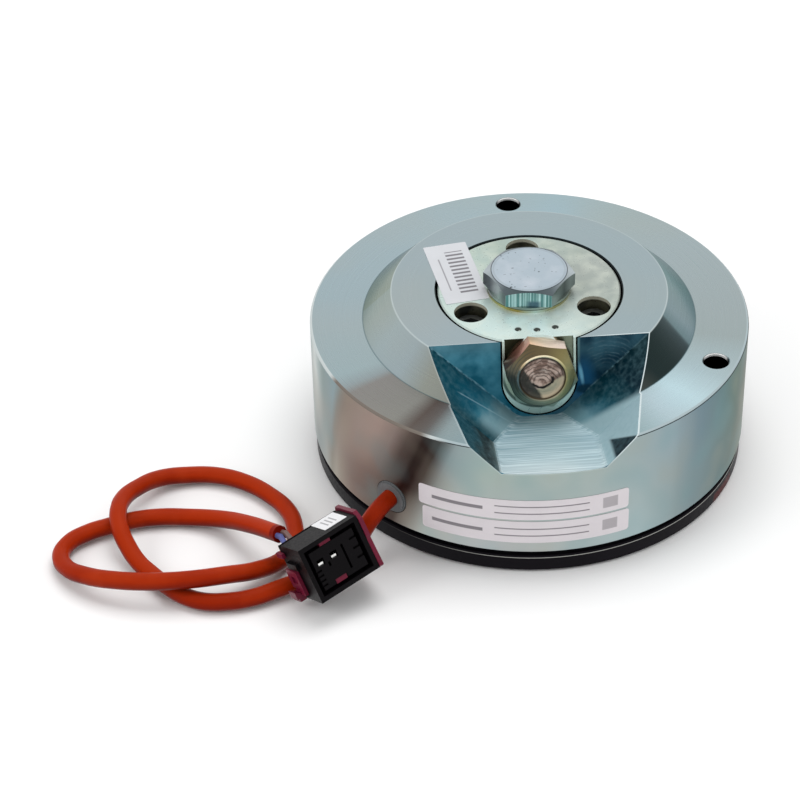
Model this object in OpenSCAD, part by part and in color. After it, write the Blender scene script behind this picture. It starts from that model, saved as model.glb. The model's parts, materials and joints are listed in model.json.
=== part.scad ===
// Spring-applied brake with an electromagnet release and a hydraulic insert.
// The friction side lies on the ground plane, the magnet body stands above it,
// and a free lead with a two-way connector lies beside it. Millimetres, +Z up.

/* [Magnet body] */
// Outer diameter of the magnet body
body_d = 150; // [148:0.5:156]
// Height of the flange face above the base
flange_h = 51.8; // [51.4:0.1:58]
// Width of the flange face round the boss
flange_w = 18.1; // [17.4:0.1:20]
// Width of the boss's slope, seen from above
slope_w = 9.9; // [7:0.1:12]
// Height of the raised boss above the flange face
boss_h = 10.5; // [9:0.1:13]
// Chamfer on the outer edges of the body
body_edge = 0.7; // [0.3:0.1:1.2]
// Chamfer round the mouth of the insert seat
seat_edge = 0.5; // [0.2:0.1:0.9]
// Bore of the centre hole that the piston's plunger passes
plunger_hole_d = 20.4; // [20.2:0.1:24]

/* [Flange holes] */
// Distance of the flange holes from the outer edge
flange_hole_in = 7.3; // [6.4:0.1:8.4]
// Diameter of the flange holes
flange_hole_d = 8.4; // [6.4:0.1:9]
// Angle of the rear flange hole
flange_hole_rear_az = 96.7; // [90:0.1:110]
// Angle of the right flange hole
flange_hole_right_az = -22.2; // [-30:0.1:-15]
// Chamfer at the mouth of the flange holes
flange_hole_edge = 0.5; // [0.2:0.1:0.9]

/* [Pocket for the hydraulic fitting] */
// Angle that the pocket faces, counted from -Y
pocket_az = 6.9; // [0:0.1:12]
// Lean of the back wall, and rise of the floor
pocket_tilt = 10.9; // [9:0.1:12]
// Distance of the back wall from the axis at the boss top
pocket_back_r = 29.3; // [28.8:0.1:30]
// Depth of the pocket along its back wall
pocket_depth = 28.2; // [27.4:0.1:28.6]
// Half-width of the floor at the back wall
pocket_half_back = 7.1; // [6:0.1:9]
// Half-width of the floor further out
pocket_half_out = 17.1; // [15:0.1:19]
// Turn of the inner flanks
pocket_flank_yaw = 28.9; // [24:0.1:32]
// Radius of the fillet between floor and flanks
pocket_fillet = 5; // [3:0.5:6]

/* [Hydraulic insert] */
// Diameter of the insert
insert_d = 62.2; // [61:0.2:63.4]
// Height of the insert
insert_h = 28.1; // [27:0.1:28.6]
// Gap between the insert and its seat
insert_gap = 0.6; // [0.2:0.05:0.8]
// Half-width of the lug that carries the port
lug_half = 12.3; // [11.9:0.1:13]
// Depth of the lug's round end below the top edge
lug_drop = 28.1; // [27:0.1:28.1]
// Half-width of the recess in the lug's face
lug_recess_half = 11.5; // [11.1:0.1:11.7]
// Depth of the recess in the lug's face
lug_recess = 1.2; // [0.6:0.1:1.8]
// Bore that the piston runs in
cylinder_d = 28; // [24:0.5:32]
// Length of the piston's bore
cylinder_l = 13.8; // [13.2:0.1:15]

/* [Insert screws] */
// Distance of the insert screws from the axis
insert_screw_r = 24; // [23.5:0.1:25]
// Thread diameter of the insert screws
insert_screw_d = 6; // [5:0.5:6]
// Counterbore diameter of the insert screws
insert_cbore_d = 11.4; // [10.6:0.1:11.8]
// Counterbore depth of the insert screws
insert_cbore_l = 10.4; // [8:0.1:12]
// Angle of the first insert screw
insert_screw_az = -24; // [-27:0.5:-22]
// Length of the insert screws' threads in the magnet body
insert_screw_l = 9.5; // [7:0.5:9.8]

/* [Punched marks] */
// Distance between the three marks on the insert
mark_pitch = 6.3; // [5:0.1:8]
// Distance of the marks from the axis
mark_r = 23.6; // [22:0.1:26]
// Diameter of each mark
mark_d = 2.4; // [1.5:0.1:3]

/* [Plugs] */
// Width across flats of the centre plug
plug_af = 27; // [24:0.5:27]
// Height of the centre plug's head
plug_head = 6.1; // [5:0.1:8]
// Share of the width that the centre plug's flat top takes
plug_top = 0.96; // [0.9:0.01:1]
// Thread diameter of the centre plug
plug_thread_d = 18; // [14:0.5:20]
// Length of the centre plug's thread below the insert's top
plug_thread_l = 9.5; // [7:0.5:11]
// Outer diameter of the centre plug's sealing ring
plug_ring_d = 28.4; // [27:0.1:29]
// Thickness of the centre plug's sealing ring
plug_ring_t = 2; // [1.5:0.1:2.5]
// Distance of the port below the top edge, along the wall
port_drop = 10; // [9.6:0.1:11.5]
// Width across flats of the port plug
port_af = 21.6; // [19:0.2:22]
// Length of the port plug's head
port_head = 8.5; // [7:0.1:10]
// Outer diameter of the rim on the port plug's end
port_rim_d = 17.6; // [15:0.1:18.4]
// Width of that rim
port_rim_w = 1.4; // [0.8:0.1:2]
// Height of that rim
port_rim_h = 1; // [0.5:0.1:1.5]
// Thread diameter of the port plug
port_thread_d = 14; // [12:0.5:15]
// Length of the port plug's thread
port_thread_l = 11; // [8:0.5:12]
// Outer diameter of the port's sealing ring
port_ring_d = 22.6; // [20:0.1:22.9]
// Thickness of the port's sealing ring
port_ring_t = 1.8; // [1:0.1:2.5]
// Turn of the port plug about its own axis
port_turn = 50; // [0:1:59]

/* [Armature and springs] */
// Thickness of the armature plate
armature_t = 7.2; // [6.8:0.1:8]
// Gap between the armature plate's edge and the chamber
armature_gap = 1; // [0.5:0.1:2]
// Gap between the armature plate and the magnet
air_gap = 0.5; // [0.45:0.05:0.8]
// Diameter of the recess under the armature plate
armature_recess_d = 44; // [42:1:50]
// Depth of the recess under the armature plate
armature_recess = 4.4; // [4:0.1:4.8]
// Distance of the springs' centres from the coil groove
spring_in = 7; // [6:0.1:7.5]
// Outer diameter of the springs
spring_d = 7; // [6:0.1:7.6]
// Wire diameter of the springs
spring_wire = 1.2; // [0.8:0.1:1.4]
// Depth of the spring holes
spring_hole_l = 14; // [12:0.5:16]
// Number of springs
spring_n = 6; // [6]
// Diameter of the guide pins
pin_d = 3.5; // [3:0.1:4]
// Length of the guide pins inside the magnet body
pin_seat_l = 7.5; // [5:0.5:9]
// Number of guide pins
pin_n = 3; // [3]

/* [Friction disc and hub] */
// Thickness of each lining
lining_t = 1.5; // [1.2:0.1:1.6]
// Thickness of the disc between the linings
disc_t = 2; // [1.6:0.1:2.1]
// Gap between the linings' edge and the chamber
lining_gap = 3; // [2:0.5:6]
// Inner diameter of the linings
lining_in_d = 66; // [60:1:76]
// Clearance of the disc on each side
face_gap = 0.15; // [0.1:0.05:0.2]
// Number of teeth of the hub
hub_teeth = 18; // [16:2:20]
// Root diameter of the hub's teeth
hub_root_d = 32; // [30:0.5:33]
// Height of the hub's teeth
tooth_h = 1.7; // [1.3:0.1:1.9]
// Clearance between the hub's teeth and the disc
tooth_gap = 0.15; // [0.1:0.05:0.25]
// Bore of the hub for the motor shaft
hub_bore_d = 20; // [16:0.5:22]
// Width of the keyway in the hub
keyway_w = 6; // [4:1:6]
// Depth of the keyway below the bore
keyway_t = 2.4; // [1.8:0.1:2.8]

/* [Coil] */
// Width of the coil groove
coil_w = 18; // [16:0.5:19]
// Width of the pole ring between the coil groove and the chamber's wall
pole_w = 8; // [7:0.5:9]
// Depth of the coil groove
coil_depth = 15.6; // [14:0.1:16]
// Wall of the coil former
former_t = 1.2; // [0.8:0.1:1.6]
// Gap between the coil former and the groove
coil_gap = 0.3; // [0.2:0.05:0.5]

/* [End plate] */
// Step from the body's side in to the end plate's side
plate_step = 0.5; // [0:0.1:1]
// Height of the end plate's rim
plate_h = 6.5; // [6.2:0.1:7.5]
// Thickness of the end plate's floor
plate_floor = 2; // [1.6:0.1:2.2]
// Wall round the chamber for the friction disc
chamber_wall = 13; // [12:0.1:13]
// Hole in the end plate for the hub
plate_hole_d = 40; // [37:0.5:50]
// Depth of the groove that the spacer leaves in the body's side
groove_l = 2; // [1.2:0.1:2.4]
// Thickness of the spacer
spacer_t = 2; // [1.5:0.1:2.5]
// Thread diameter of the end plate's screws
plate_screw_d = 5; // [4:0.5:5]
// Length of the end plate's screws inside the magnet body
plate_screw_l = 11; // [8:0.5:14]
// Number of screws that hold the end plate
plate_screw_n = 3; // [3]

/* [Lead and grommet] */
// Diameter of the lead
lead_d = 6; // [5:0.1:6.2]
// Angle of the lead's outlet
lead_az = -126.87; // [-126.87]
// Height of the lead's outlet above the base
lead_h = 19.5; // [19.5]
// Outer diameter of the grommet
grommet_d = 12; // [11:0.1:12.4]
// Length of the grommet inside the body
grommet_l = 8; // [6:0.5:12]
// Height that the grommet stands proud of the body
grommet_proud = 0.6; // [0.3:0.1:1.2]

/* [Connector] */
// Width of the connector housing
conn_w = 23.2; // [22:0.2:26]
// Depth of the connector housing from socket to rear
conn_l = 15.8; // [15:0.2:18]
// Height of the connector housing
conn_h = 19.8; // [19:0.2:22]
// Wall of the connector's socket
conn_wall = 1.6; // [1.2:0.1:2]
// Depth of the connector's socket
socket_l = 9.4; // [8:0.2:10]
// Width of the slot between the socket's wall and its inner block
socket_gap = 1.4; // [1:0.1:1.8]
// Distance between the two contacts
contact_pitch = 5.2; // [5:0.1:6]
// Diameter of each single wire
wire_d = 2; // [1.6:0.1:2.2]

/* [Hidden] */
$fn = 96;

body_r = body_d / 2;
top_z = flange_h + boss_h;
body_z = plate_h + spacer_t;
disc_z = plate_floor + face_gap;
stack_t = 2 * lining_t + disc_t;
arm_z = disc_z + stack_t + face_gap;
face_z = arm_z + armature_t + air_gap;
seat_z = top_z - insert_h;
insert_r = insert_d / 2;
seat_r = insert_r + insert_gap;
boss_base_d = body_d - 2 * flange_w;
boss_top_d = boss_base_d - 2 * slope_w;
flange_hole_r = body_r - flange_hole_in;
plate_d = body_d - 2 * plate_step;
spacer_d = body_d - 2 * groove_l;
chamber_d = body_d - 2 * chamber_wall;
armature_d = chamber_d - 2 * armature_gap;
lining_d = chamber_d - 2 * lining_gap;
coil_out_d = chamber_d - 2 * pole_w;
coil_in_d = coil_out_d - 2 * coil_w;
spring_r = coil_in_d / 2 - spring_in;
pin_r = (coil_out_d + armature_d) / 4;
pin_az = [for (i = [0:pin_n - 1]) 30 + i * 360 / pin_n];
spring_az = [for (i = [0:spring_n - 1]) insert_screw_az + (i + 0.5) * 360 / spring_n];

// Clearances that several pieces share
screw_gap = 0.1;
hole_gap = 0.4;
pin_gap = 0.5;
running = 0.03;
hub_r = hub_bore_d / 2;
hub_z = 0.6;
hub_top = arm_z + armature_recess - 0.5;
arm_travel = air_gap - 0.1;
plunger_r = plunger_hole_d / 2 - 0.3;
piston_z = seat_z + 1.6;
piston_h = 8;
plunger_z = face_z + 0.5;
screw_az = [insert_screw_az, insert_screw_az + 120, insert_screw_az + 240];
plate_screw_az = [for (i = [0:plate_screw_n - 1]) 37 + i * 360 / plate_screw_n];
plate_screw_r = (chamber_d / 2 + spacer_d / 2) / 2;
plate_screw_end = body_z + plate_screw_l;

// Puts a child on a circle of radius r at angle a
module at(r, a) { rotate([0, 0, a]) translate([r, 0, 0]) children(); }

// Pocket frame: x across, y outwards along the floor, z up along the back wall
module pocket_frame() {
    rotate([0, 0, pocket_az])
    translate([0, -pocket_back_r, top_z])
    rotate([-pocket_tilt, 0, 0])
    rotate([0, 0, 180])
    translate([0, 0, -pocket_depth])
    children();
}

// Right-hand half of a trough section: floor half-width w, flank slope s, fillet f
function trough(w, s, f, top) =
    let (a = atan2(1, s), t = f * tan(a / 2), c = [w - t, f])
    concat([for (k = [0:6]) c + f * [sin(a * k / 6), -cos(a * k / 6)]],
        [[w + s * top, top]]);

function flip(p) = [for (i = [len(p) - 1:-1:0]) [-p[i][0], p[i][1]]];

// Space that is cut out for the hydraulic fitting
module pocket_space() {
    k = 48;
    half = trough(pocket_half_out, 1, pocket_fillet, k);
    yawed = trough(pocket_half_back * cos(pocket_flank_yaw), 0.919, pocket_fillet, k);
    pocket_frame() intersection() {
        rotate([90, 0, 180]) linear_extrude(height = 70)
            polygon(concat(half, flip(half)));
        rotate([0, 0, pocket_flank_yaw]) rotate([90, 0, 180])
            translate([0, 0, -60]) linear_extrude(height = 160)
            polygon(concat([[-90, k], [-90, 0]], yawed));
        mirror([1, 0, 0]) rotate([0, 0, pocket_flank_yaw]) rotate([90, 0, 180])
            translate([0, 0, -60]) linear_extrude(height = 160)
            polygon(concat([[-90, k], [-90, 0]], yawed));
    }
}

// U outline of the lug, open towards the top, with its round end at the bottom
module lug_outline(half, drop, top) {
    translate([0, pocket_depth - drop + half]) circle(r = half);
    translate([-half, pocket_depth - drop + half]) square([2 * half, drop - half + top]);
}

// Port axis: x along the port, pointing outwards, origin on the lug's face
module port_frame() {
    pocket_frame() translate([0, 0, pocket_depth - port_drop])
    rotate([90, 0, 180]) children();
}

// Magnet body with its boss, pocket, seats and holes
module magnet_body() {
    color("#b9c6cc")
    difference() {
        rotate_extrude($fn = 180)
            polygon([[0, body_z], [body_r - body_edge, body_z], [body_r, body_z + body_edge],
                [body_r, flange_h - body_edge], [body_r - body_edge, flange_h],
                [boss_base_d / 2, flange_h], [boss_top_d / 2, top_z], [0, top_z]]);
        pocket_space();
        // armature chamber, coil groove, plunger hole
        translate([0, 0, body_z - 1]) cylinder(d = chamber_d, h = face_z - body_z + 1, $fn = 180);
        translate([0, 0, face_z - 1]) difference() {
            cylinder(d = coil_out_d, h = coil_depth + 1, $fn = 180);
            translate([0, 0, -1]) cylinder(d = coil_in_d, h = coil_depth + 3, $fn = 144);
        }
        translate([0, 0, face_z - 1]) cylinder(d = plunger_hole_d, h = 40);
        // seat of the hydraulic insert, with the slot for its lug
        translate([0, 0, seat_z]) cylinder(r = seat_r, h = 60, $fn = 144);
        translate([0, 0, top_z - seat_edge])
            cylinder(r1 = seat_r, r2 = seat_r + seat_edge + 0.1, h = seat_edge + 0.1, $fn = 144);
        intersection() {
            pocket_frame() rotate([90, 0, 0]) translate([0, 0, -5])
                linear_extrude(height = 16) lug_outline(lug_half + insert_gap, lug_drop, 20);
            translate([-80, -80, seat_z]) cube([160, 160, 60]);
        }
        for (a = screw_az) at(insert_screw_r, a) translate([0, 0, seat_z - insert_screw_l - 0.5])
            cylinder(d = insert_screw_d + 2 * screw_gap, h = insert_screw_l + 1.5);
        // springs and guide pins
        for (a = spring_az) at(spring_r, a)
            translate([0, 0, face_z - 1]) cylinder(d = spring_d + 1, h = spring_hole_l + 1);
        for (a = pin_az) at(pin_r, a) translate([0, 0, face_z - 1])
            cylinder(d = pin_d + 2 * screw_gap, h = pin_seat_l + 1.5);
        // flange holes and the end plate's screws
        for (a = [flange_hole_rear_az, flange_hole_right_az]) at(flange_hole_r, a) {
            cylinder(d = flange_hole_d, h = 80);
            translate([0, 0, flange_h - flange_hole_edge])
                cylinder(d1 = flange_hole_d, d2 = flange_hole_d + 2 * flange_hole_edge + 0.2,
                    h = flange_hole_edge + 0.1);
        }
        for (a = plate_screw_az) at(plate_screw_r, a)
            cylinder(d = plate_screw_d + 2 * screw_gap, h = plate_screw_end + 1);
        // outlet of the lead
        rotate([0, 0, lead_az]) translate([0, 0, lead_h]) rotate([0, 90, 0]) {
            translate([0, 0, coil_out_d / 2 - 2])
                cylinder(d = lead_d + hole_gap, h = body_r, $fn = 48);
            translate([0, 0, body_r - grommet_l])
                cylinder(d = grommet_d + 0.5, h = 30, $fn = 64);
        }
    }
}

// Coil: former, winding and the resin that closes the groove
module coil_former() {
    a = coil_in_d / 2 + coil_gap;
    b = coil_out_d / 2 - coil_gap;
    z = face_z + 1;
    h = coil_depth - 1.3;
    color("#3a3a3c") rotate_extrude($fn = 144)
        polygon([[a, z], [b, z], [b, z + former_t], [a + former_t, z + former_t],
            [a + former_t, z + h - former_t], [b, z + h - former_t], [b, z + h], [a, z + h]]);
}
module coil_winding() {
    a = coil_in_d / 2 + coil_gap + former_t;
    b = coil_out_d / 2 - coil_gap - 1.2;
    z = face_z + 1 + former_t;
    h = coil_depth - 1.3 - 2 * former_t;
    color("#a4602c") rotate_extrude($fn = 144) translate([a, z]) square([b - a, h]);
}
module coil_potting() {
    color("#22262a") translate([0, 0, face_z]) difference() {
        cylinder(d = coil_out_d - 0.1, h = 1, $fn = 144);
        translate([0, 0, -1]) cylinder(d = coil_in_d + 0.1, h = 3, $fn = 144);
    }
}

// Compression springs, each one a swept helix with closed ends
function helix(n, h, r, steps) = [for (i = [0:n * steps])
    let (t = i / (n * steps), s = t < 0.5 ? 2 * t * t : 1 - 2 * (1 - t) * (1 - t),
        u = 0.6 * t + 0.4 * s)
    [r * cos(360 * i / steps), r * sin(360 * i / steps), h * u]];
function unit(v) = v / norm(v);
function sweep_frame(p, i) =
    let (n = len(p), d = unit(p[min(i + 1, n - 1)] - p[max(i - 1, 0)]),
        s = unit(cross(abs(d[2]) > 0.8 ? [1, 0, 0] : [0, 0, 1], d)))
    [s, cross(d, s)];
module tube(p, r, sides) {
    n = len(p);
    pts = [for (i = [0:n - 1]) let (f = sweep_frame(p, i)) for (k = [0:sides - 1])
        p[i] + r * (cos(360 * k / sides) * f[0] + sin(360 * k / sides) * f[1])];
    faces = concat([[for (k = [sides - 1:-1:0]) k]],
        [for (i = [0:n - 2]) for (k = [0:sides - 1])
            let (a = i * sides + k, b = i * sides + (k + 1) % sides)
            each [[a, b, b + sides], [a, b + sides, a + sides]]],
        [[for (k = [0:sides - 1]) (n - 1) * sides + k]]);
    polyhedron(pts, [for (f = faces) [for (j = [len(f) - 1:-1:0]) f[j]]], convexity = 8);
}
spring_z = arm_z + armature_t;
module pressure_springs() {
    h = face_z + spring_hole_l - spring_z - spring_wire - 0.1;
    color("#8f9498")
    for (a = spring_az) at(spring_r, a)
        translate([0, 0, spring_z + spring_wire / 2 + 0.05])
        tube(helix(5, h, (spring_d - spring_wire) / 2, 10), spring_wire / 2, 5);
}

// Pins that guide the armature plate
module guide_pins() {
    color("#9aa0a4")
    for (a = pin_az) at(pin_r, a) translate([0, 0, arm_z + pin_gap])
        cylinder(d = pin_d, h = face_z + pin_seat_l - arm_z - pin_gap);
}

// Armature plate, drawn up by the coil
module armature_plate() {
    color("#7f878c") translate([0, 0, arm_z]) difference() {
        cylinder(d = armature_d, h = armature_t, $fn = 180);
        translate([0, 0, -1]) cylinder(d = armature_recess_d, h = armature_recess + 1);
        for (a = pin_az) at(pin_r, a) translate([0, 0, -1])
            cylinder(d = pin_d + 2 * hole_gap, h = armature_t + 2, $fn = 48);
    }
}

// Straight-sided spline with n teeth between two radii
function spline(n, r0, r1, grow) = [for (i = [0:n - 1]) let (p = 360 / n, a = i * p)
    each [[r0, a - 0.30 * p - grow], [r1, a - 0.17 * p - grow],
        [r1, a + 0.17 * p + grow], [r0, a + 0.30 * p + grow]]];
function polar(l) = [for (q = l) q[0] * [cos(q[1]), sin(q[1])]];

module friction_disc() {
    color("#6d7478") translate([0, 0, disc_z + lining_t]) difference() {
        cylinder(d = lining_d + 1, h = disc_t, $fn = 180);
        translate([0, 0, -1]) linear_extrude(height = disc_t + 2)
            polygon(polar(spline(hub_teeth, hub_root_d / 2 + tooth_gap,
                hub_root_d / 2 + tooth_h + tooth_gap, 0.5)));
    }
}
module lining(z) {
    color("#4b4540") translate([0, 0, z]) difference() {
        cylinder(d = lining_d, h = lining_t, $fn = 180);
        translate([0, 0, -1]) cylinder(d = lining_in_d, h = lining_t + 2, $fn = 144);
    }
}
module lining_upper() { lining(disc_z + lining_t + disc_t); }
module lining_lower() { lining(disc_z); }
module drive_hub() {
    color("#8d9396") translate([0, 0, hub_z]) difference() {
        linear_extrude(height = hub_top - hub_z)
            polygon(polar(spline(hub_teeth, hub_root_d / 2, hub_root_d / 2 + tooth_h, 0)));
        translate([0, 0, -1]) cylinder(r = hub_r, h = 30);
        translate([0, -keyway_w / 2, -1]) cube([hub_r + keyway_t, keyway_w, 30]);
    }
}

// Black end plate with the chamber for the friction disc
module end_plate() {
    color("#17181a") difference() {
        rotate_extrude($fn = 180)
            polygon([[0, 0], [plate_d / 2 - 0.8, 0], [plate_d / 2, 0.8],
                [plate_d / 2, plate_h - 0.5], [plate_d / 2 - 0.5, plate_h], [0, plate_h]]);
        translate([0, 0, plate_floor]) cylinder(d = chamber_d, h = 20, $fn = 180);
        translate([0, 0, -1]) cylinder(d = plate_hole_d, h = 10);
        for (a = [flange_hole_rear_az, flange_hole_right_az]) at(flange_hole_r, a)
            translate([0, 0, -1]) cylinder(d = flange_hole_d + 0.4, h = 20);
        for (a = plate_screw_az) at(plate_screw_r, a) {
            translate([0, 0, -1]) cylinder(d = plate_screw_d + 2 * screw_gap, h = 20);
            translate([0, 0, -0.01]) cylinder(r1 = plate_screw_d + screw_gap,
                r2 = plate_screw_d / 2 + screw_gap, h = plate_screw_d / 2 + 0.01);
        }
    }
}
module end_plate_screws() {
    color("#2a2c2e") for (a = plate_screw_az) at(plate_screw_r, a) difference() {
        union() {
            translate([0, 0, 0.1]) cylinder(r1 = plate_screw_d - 0.1, r2 = plate_screw_d / 2,
                h = plate_screw_d / 2 - 0.1, $fn = 48);
            translate([0, 0, 0.3]) cylinder(d = plate_screw_d, h = plate_screw_end - 0.3, $fn = 48);
        }
        translate([0, 0, -1]) cylinder(d = plate_screw_d * 0.7, h = 2.6, $fn = 6);
    }
}
module spacer_ring() {
    color("#0f1011") translate([0, 0, plate_h]) difference() {
        cylinder(d = spacer_d, h = spacer_t, $fn = 180);
        translate([0, 0, -1]) cylinder(d = chamber_d, h = spacer_t + 2, $fn = 180);
        for (a = [flange_hole_rear_az, flange_hole_right_az]) at(flange_hole_r, a)
            translate([0, 0, -1]) cylinder(d = flange_hole_d + 0.4, h = 20);
        for (a = plate_screw_az) at(plate_screw_r, a) translate([0, 0, -1])
            cylinder(d = plate_screw_d + 2 * screw_gap, h = 20);
    }
}

// Hydraulic insert: a disc with a lug for the port and the piston's bore below
module hydraulic_insert() {
    color("#cdd3bf") difference() {
        union() {
            translate([0, 0, seat_z])
                cylinder(r = insert_r, h = insert_h - seat_edge, $fn = 144);
            translate([0, 0, top_z - seat_edge])
                cylinder(r1 = insert_r, r2 = insert_r - seat_edge, h = seat_edge, $fn = 144);
            intersection() {
                pocket_frame() rotate([90, 0, 0]) translate([0, 0, 0])
                    linear_extrude(height = 12) lug_outline(lug_half, lug_drop - insert_gap, 20);
                translate([-60, -60, seat_z]) cube([120, 120, insert_h]);
            }
        }
        // face of the lug, flush with the pocket's back wall
        pocket_frame() translate([-60, 0, -40]) cube([120, 60, 100]);
        pocket_frame() rotate([90, 0, 0]) translate([0, 0, -1])
            linear_extrude(height = lug_recess + 1)
            lug_outline(lug_recess_half, port_drop + lug_recess_half, 20);
        for (a = screw_az) at(insert_screw_r, a) {
            translate([0, 0, seat_z - 1])
                cylinder(d = insert_screw_d + 2 * hole_gap, h = 60, $fn = 48);
            translate([0, 0, top_z - insert_cbore_l]) cylinder(d = insert_cbore_d, h = 20);
        }
        // thread for the centre plug, oil way and piston bore
        translate([0, 0, top_z - plug_thread_l - 1])
            cylinder(d = plug_thread_d + 2 * screw_gap, h = plug_thread_l + 5);
        // three punched marks in front of the plug
        for (i = [-1:1]) at(mark_r, pocket_az - 90 + i * mark_pitch / mark_r * 180 / PI)
            translate([0, 0, top_z - mark_d / 3])
            cylinder(d1 = 0.4, d2 = mark_d, h = mark_d / 3 + 0.01, $fn = 24);
        translate([0, 0, seat_z]) cylinder(d = 9, h = insert_h - 2);
        translate([0, 0, seat_z - 1]) cylinder(d = cylinder_d, h = cylinder_l + 1);
        port_frame() translate([0, 0, -port_thread_l - 2])
            cylinder(d = port_thread_d + 2 * screw_gap, h = port_thread_l + 20);
        port_frame() translate([0, 0, -26]) cylinder(d = 5, h = 30, $fn = 48);
    }
}

// Socket head screw, origin at the underside of its head
module cap_screw(d, l) {
    difference() {
        union() {
            cylinder(d = d * 10 / 6 - 0.6, h = d, $fn = 64);
            cylinder(d = d * 10 / 6, h = d - 0.5, $fn = 64);
            translate([0, 0, -l]) cylinder(d = d, h = l + 0.5, $fn = 48);
        }
        translate([0, 0, d / 2]) cylinder(d = d * 5 / 6 / cos(30), h = d, $fn = 6);
    }
}
module insert_screw(i) {
    color("#5e6467") at(insert_screw_r, screw_az[i])
        translate([0, 0, top_z - insert_cbore_l])
        cap_screw(insert_screw_d, insert_h - insert_cbore_l + insert_screw_l);
}
module insert_screw_right() { insert_screw(0); }
module insert_screw_back() { insert_screw(1); }
module insert_screw_left() { insert_screw(2); }

// Piston with its plunger and ring groove
module piston() {
    r = cylinder_d / 2 - running;
    color("#9fa6a9") rotate_extrude($fn = 144)
        polygon([[0, plunger_z], [plunger_r - 0.8, plunger_z], [plunger_r, plunger_z + 0.8],
            [plunger_r, piston_z], [r, piston_z], [r, piston_z + 2.6], [r - 2.3, piston_z + 2.6],
            [r - 2.3, piston_z + 5.4], [r, piston_z + 5.4], [r, piston_z + piston_h - 0.4],
            [r - 0.4, piston_z + piston_h], [0, piston_z + piston_h]]);
}
module piston_seal() {
    r = cylinder_d / 2 - running;
    color("#141414") translate([0, 0, piston_z + 4]) rotate_extrude($fn = 96)
        translate([r - 1.1, 0]) circle(r = 1.12, $fn = 24);
}

// Hexagon head, origin at its seat, cut by a cone from radius r at height h outwards
module hex_head(af, h, r, slope) {
    intersection() {
        cylinder(d = af / cos(30), h = h, $fn = 6);
        rotate_extrude($fn = 96)
            polygon([[0, -1], [af, -1], [af, h - (af - r) * slope], [r, h], [0, h]]);
    }
}
module centre_plug() {
    color("#c7ccd2") translate([0, 0, top_z + plug_ring_t]) {
        hex_head(plug_af, plug_head, plug_af / 2 * plug_top, tan(30));
        translate([0, 0, -plug_ring_t - plug_thread_l])
            cylinder(d = plug_thread_d, h = plug_thread_l + plug_ring_t + 0.5);
    }
}
module centre_plug_ring() {
    color("#b08a3e") translate([0, 0, top_z]) difference() {
        cylinder(d = plug_ring_d, h = plug_ring_t);
        translate([0, 0, -1]) cylinder(d = plug_thread_d + 1, h = plug_ring_t + 2);
    }
}
// Port plug: a hexagon with a raised rim round its dished end
module port_plug() {
    r = port_rim_d / 2;
    a = port_head - port_rim_h;
    color("#c9a07c") port_frame() translate([0, 0, port_ring_t - lug_recess]) {
        rotate([0, 0, port_turn]) hex_head(port_af, a, r + 0.3, 0.36);
        rotate_extrude($fn = 96)
            polygon([[0, a - 1], [r, a - 1], [r, a], [r - 0.3, port_head - 0.2],
                [r - 0.5, port_head], [r - port_rim_w * 0.6, port_head], [r - port_rim_w, a + 0.1],
                [r * 0.6, a], [r * 0.56, a + 0.3], [r * 0.42, a + 0.35], [r * 0.38, a + 0.05],
                [0, a + 0.1]]);
        translate([0, 0, -port_thread_l]) cylinder(d = port_thread_d, h = port_thread_l + 0.5);
    }
}
module port_ring() {
    color("#b9b3a2") port_frame() translate([0, 0, -lug_recess]) difference() {
        cylinder(d = port_ring_d, h = port_ring_t);
        translate([0, 0, -1]) cylinder(d = port_thread_d + 1, h = port_ring_t + 2);
    }
}

// Rubber grommet round the lead
module cable_grommet() {
    color("#5c6164") rotate([0, 0, lead_az]) translate([0, 0, lead_h]) rotate([0, 90, 0])
        translate([0, 0, body_r - grommet_l]) difference() {
            union() {
                cylinder(d = grommet_d, h = grommet_l + grommet_proud - 0.6, $fn = 64);
                cylinder(d = grommet_d - 1.2, h = grommet_l + grommet_proud, $fn = 64);
            }
            translate([0, 0, -1]) cylinder(d = lead_d, h = 40, $fn = 48);
        }
}

// Route of the lead, from the coil to the end of its sheath
lead_points = [[-33, -44, 19.5], [-39, -52, 19.5], [-45, -60, 19.5], [-49, -65.5, 18.5],
    [-53, -69.5, 14.5], [-56, -71, 9.5], [-61, -74, 5.6], [-67, -79, 3.4], [-72.5, -83, 3.1],
    [-77, -86, 3.1], [-82, -89, 3.1], [-89, -92.8, 3.1], [-97.5, -95, 3.1], [-106, -95, 3.1],
    [-113, -92, 3.1], [-118.5, -87.5, 3.1], [-124, -82, 3.1], [-129, -77, 4], [-133, -71.5, 6],
    [-136, -66, 8.6], [-137.5, -59.5, 9.8], [-137, -51, 9], [-133, -42, 7], [-126.5, -34, 4.5],
    [-117, -30.5, 3.2], [-107, -30.5, 3.1], [-97, -34, 3.1], [-87.5, -41, 3.1],
    [-81, -49, 3.1], [-78, -58, 3.1], [-77.5, -66, 3.1], [-81, -74.5, 3.6], [-88.5, -82.5, 6],
    [-98, -88.5, 9], [-110, -92, 9.8], [-122, -93, 9.6], [-134, -91.5, 8.6], [-145, -87, 6.4],
    [-152.5, -80.5, 4], [-155.5, -73.5, 3.1], [-154, -67.5, 3.1], [-148.5, -62, 3.1],
    [-141, -58, 3.1], [-134, -55, 3.1], [-124.5, -53, 3.1], [-114.5, -53, 3.2],
    [-103.5, -56, 5.2], [-93, -64.5, 10.5], [-81, -77, 17]];

module cable() { color("#c2481c") tube(lead_points, lead_d / 2, 10); }

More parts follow.
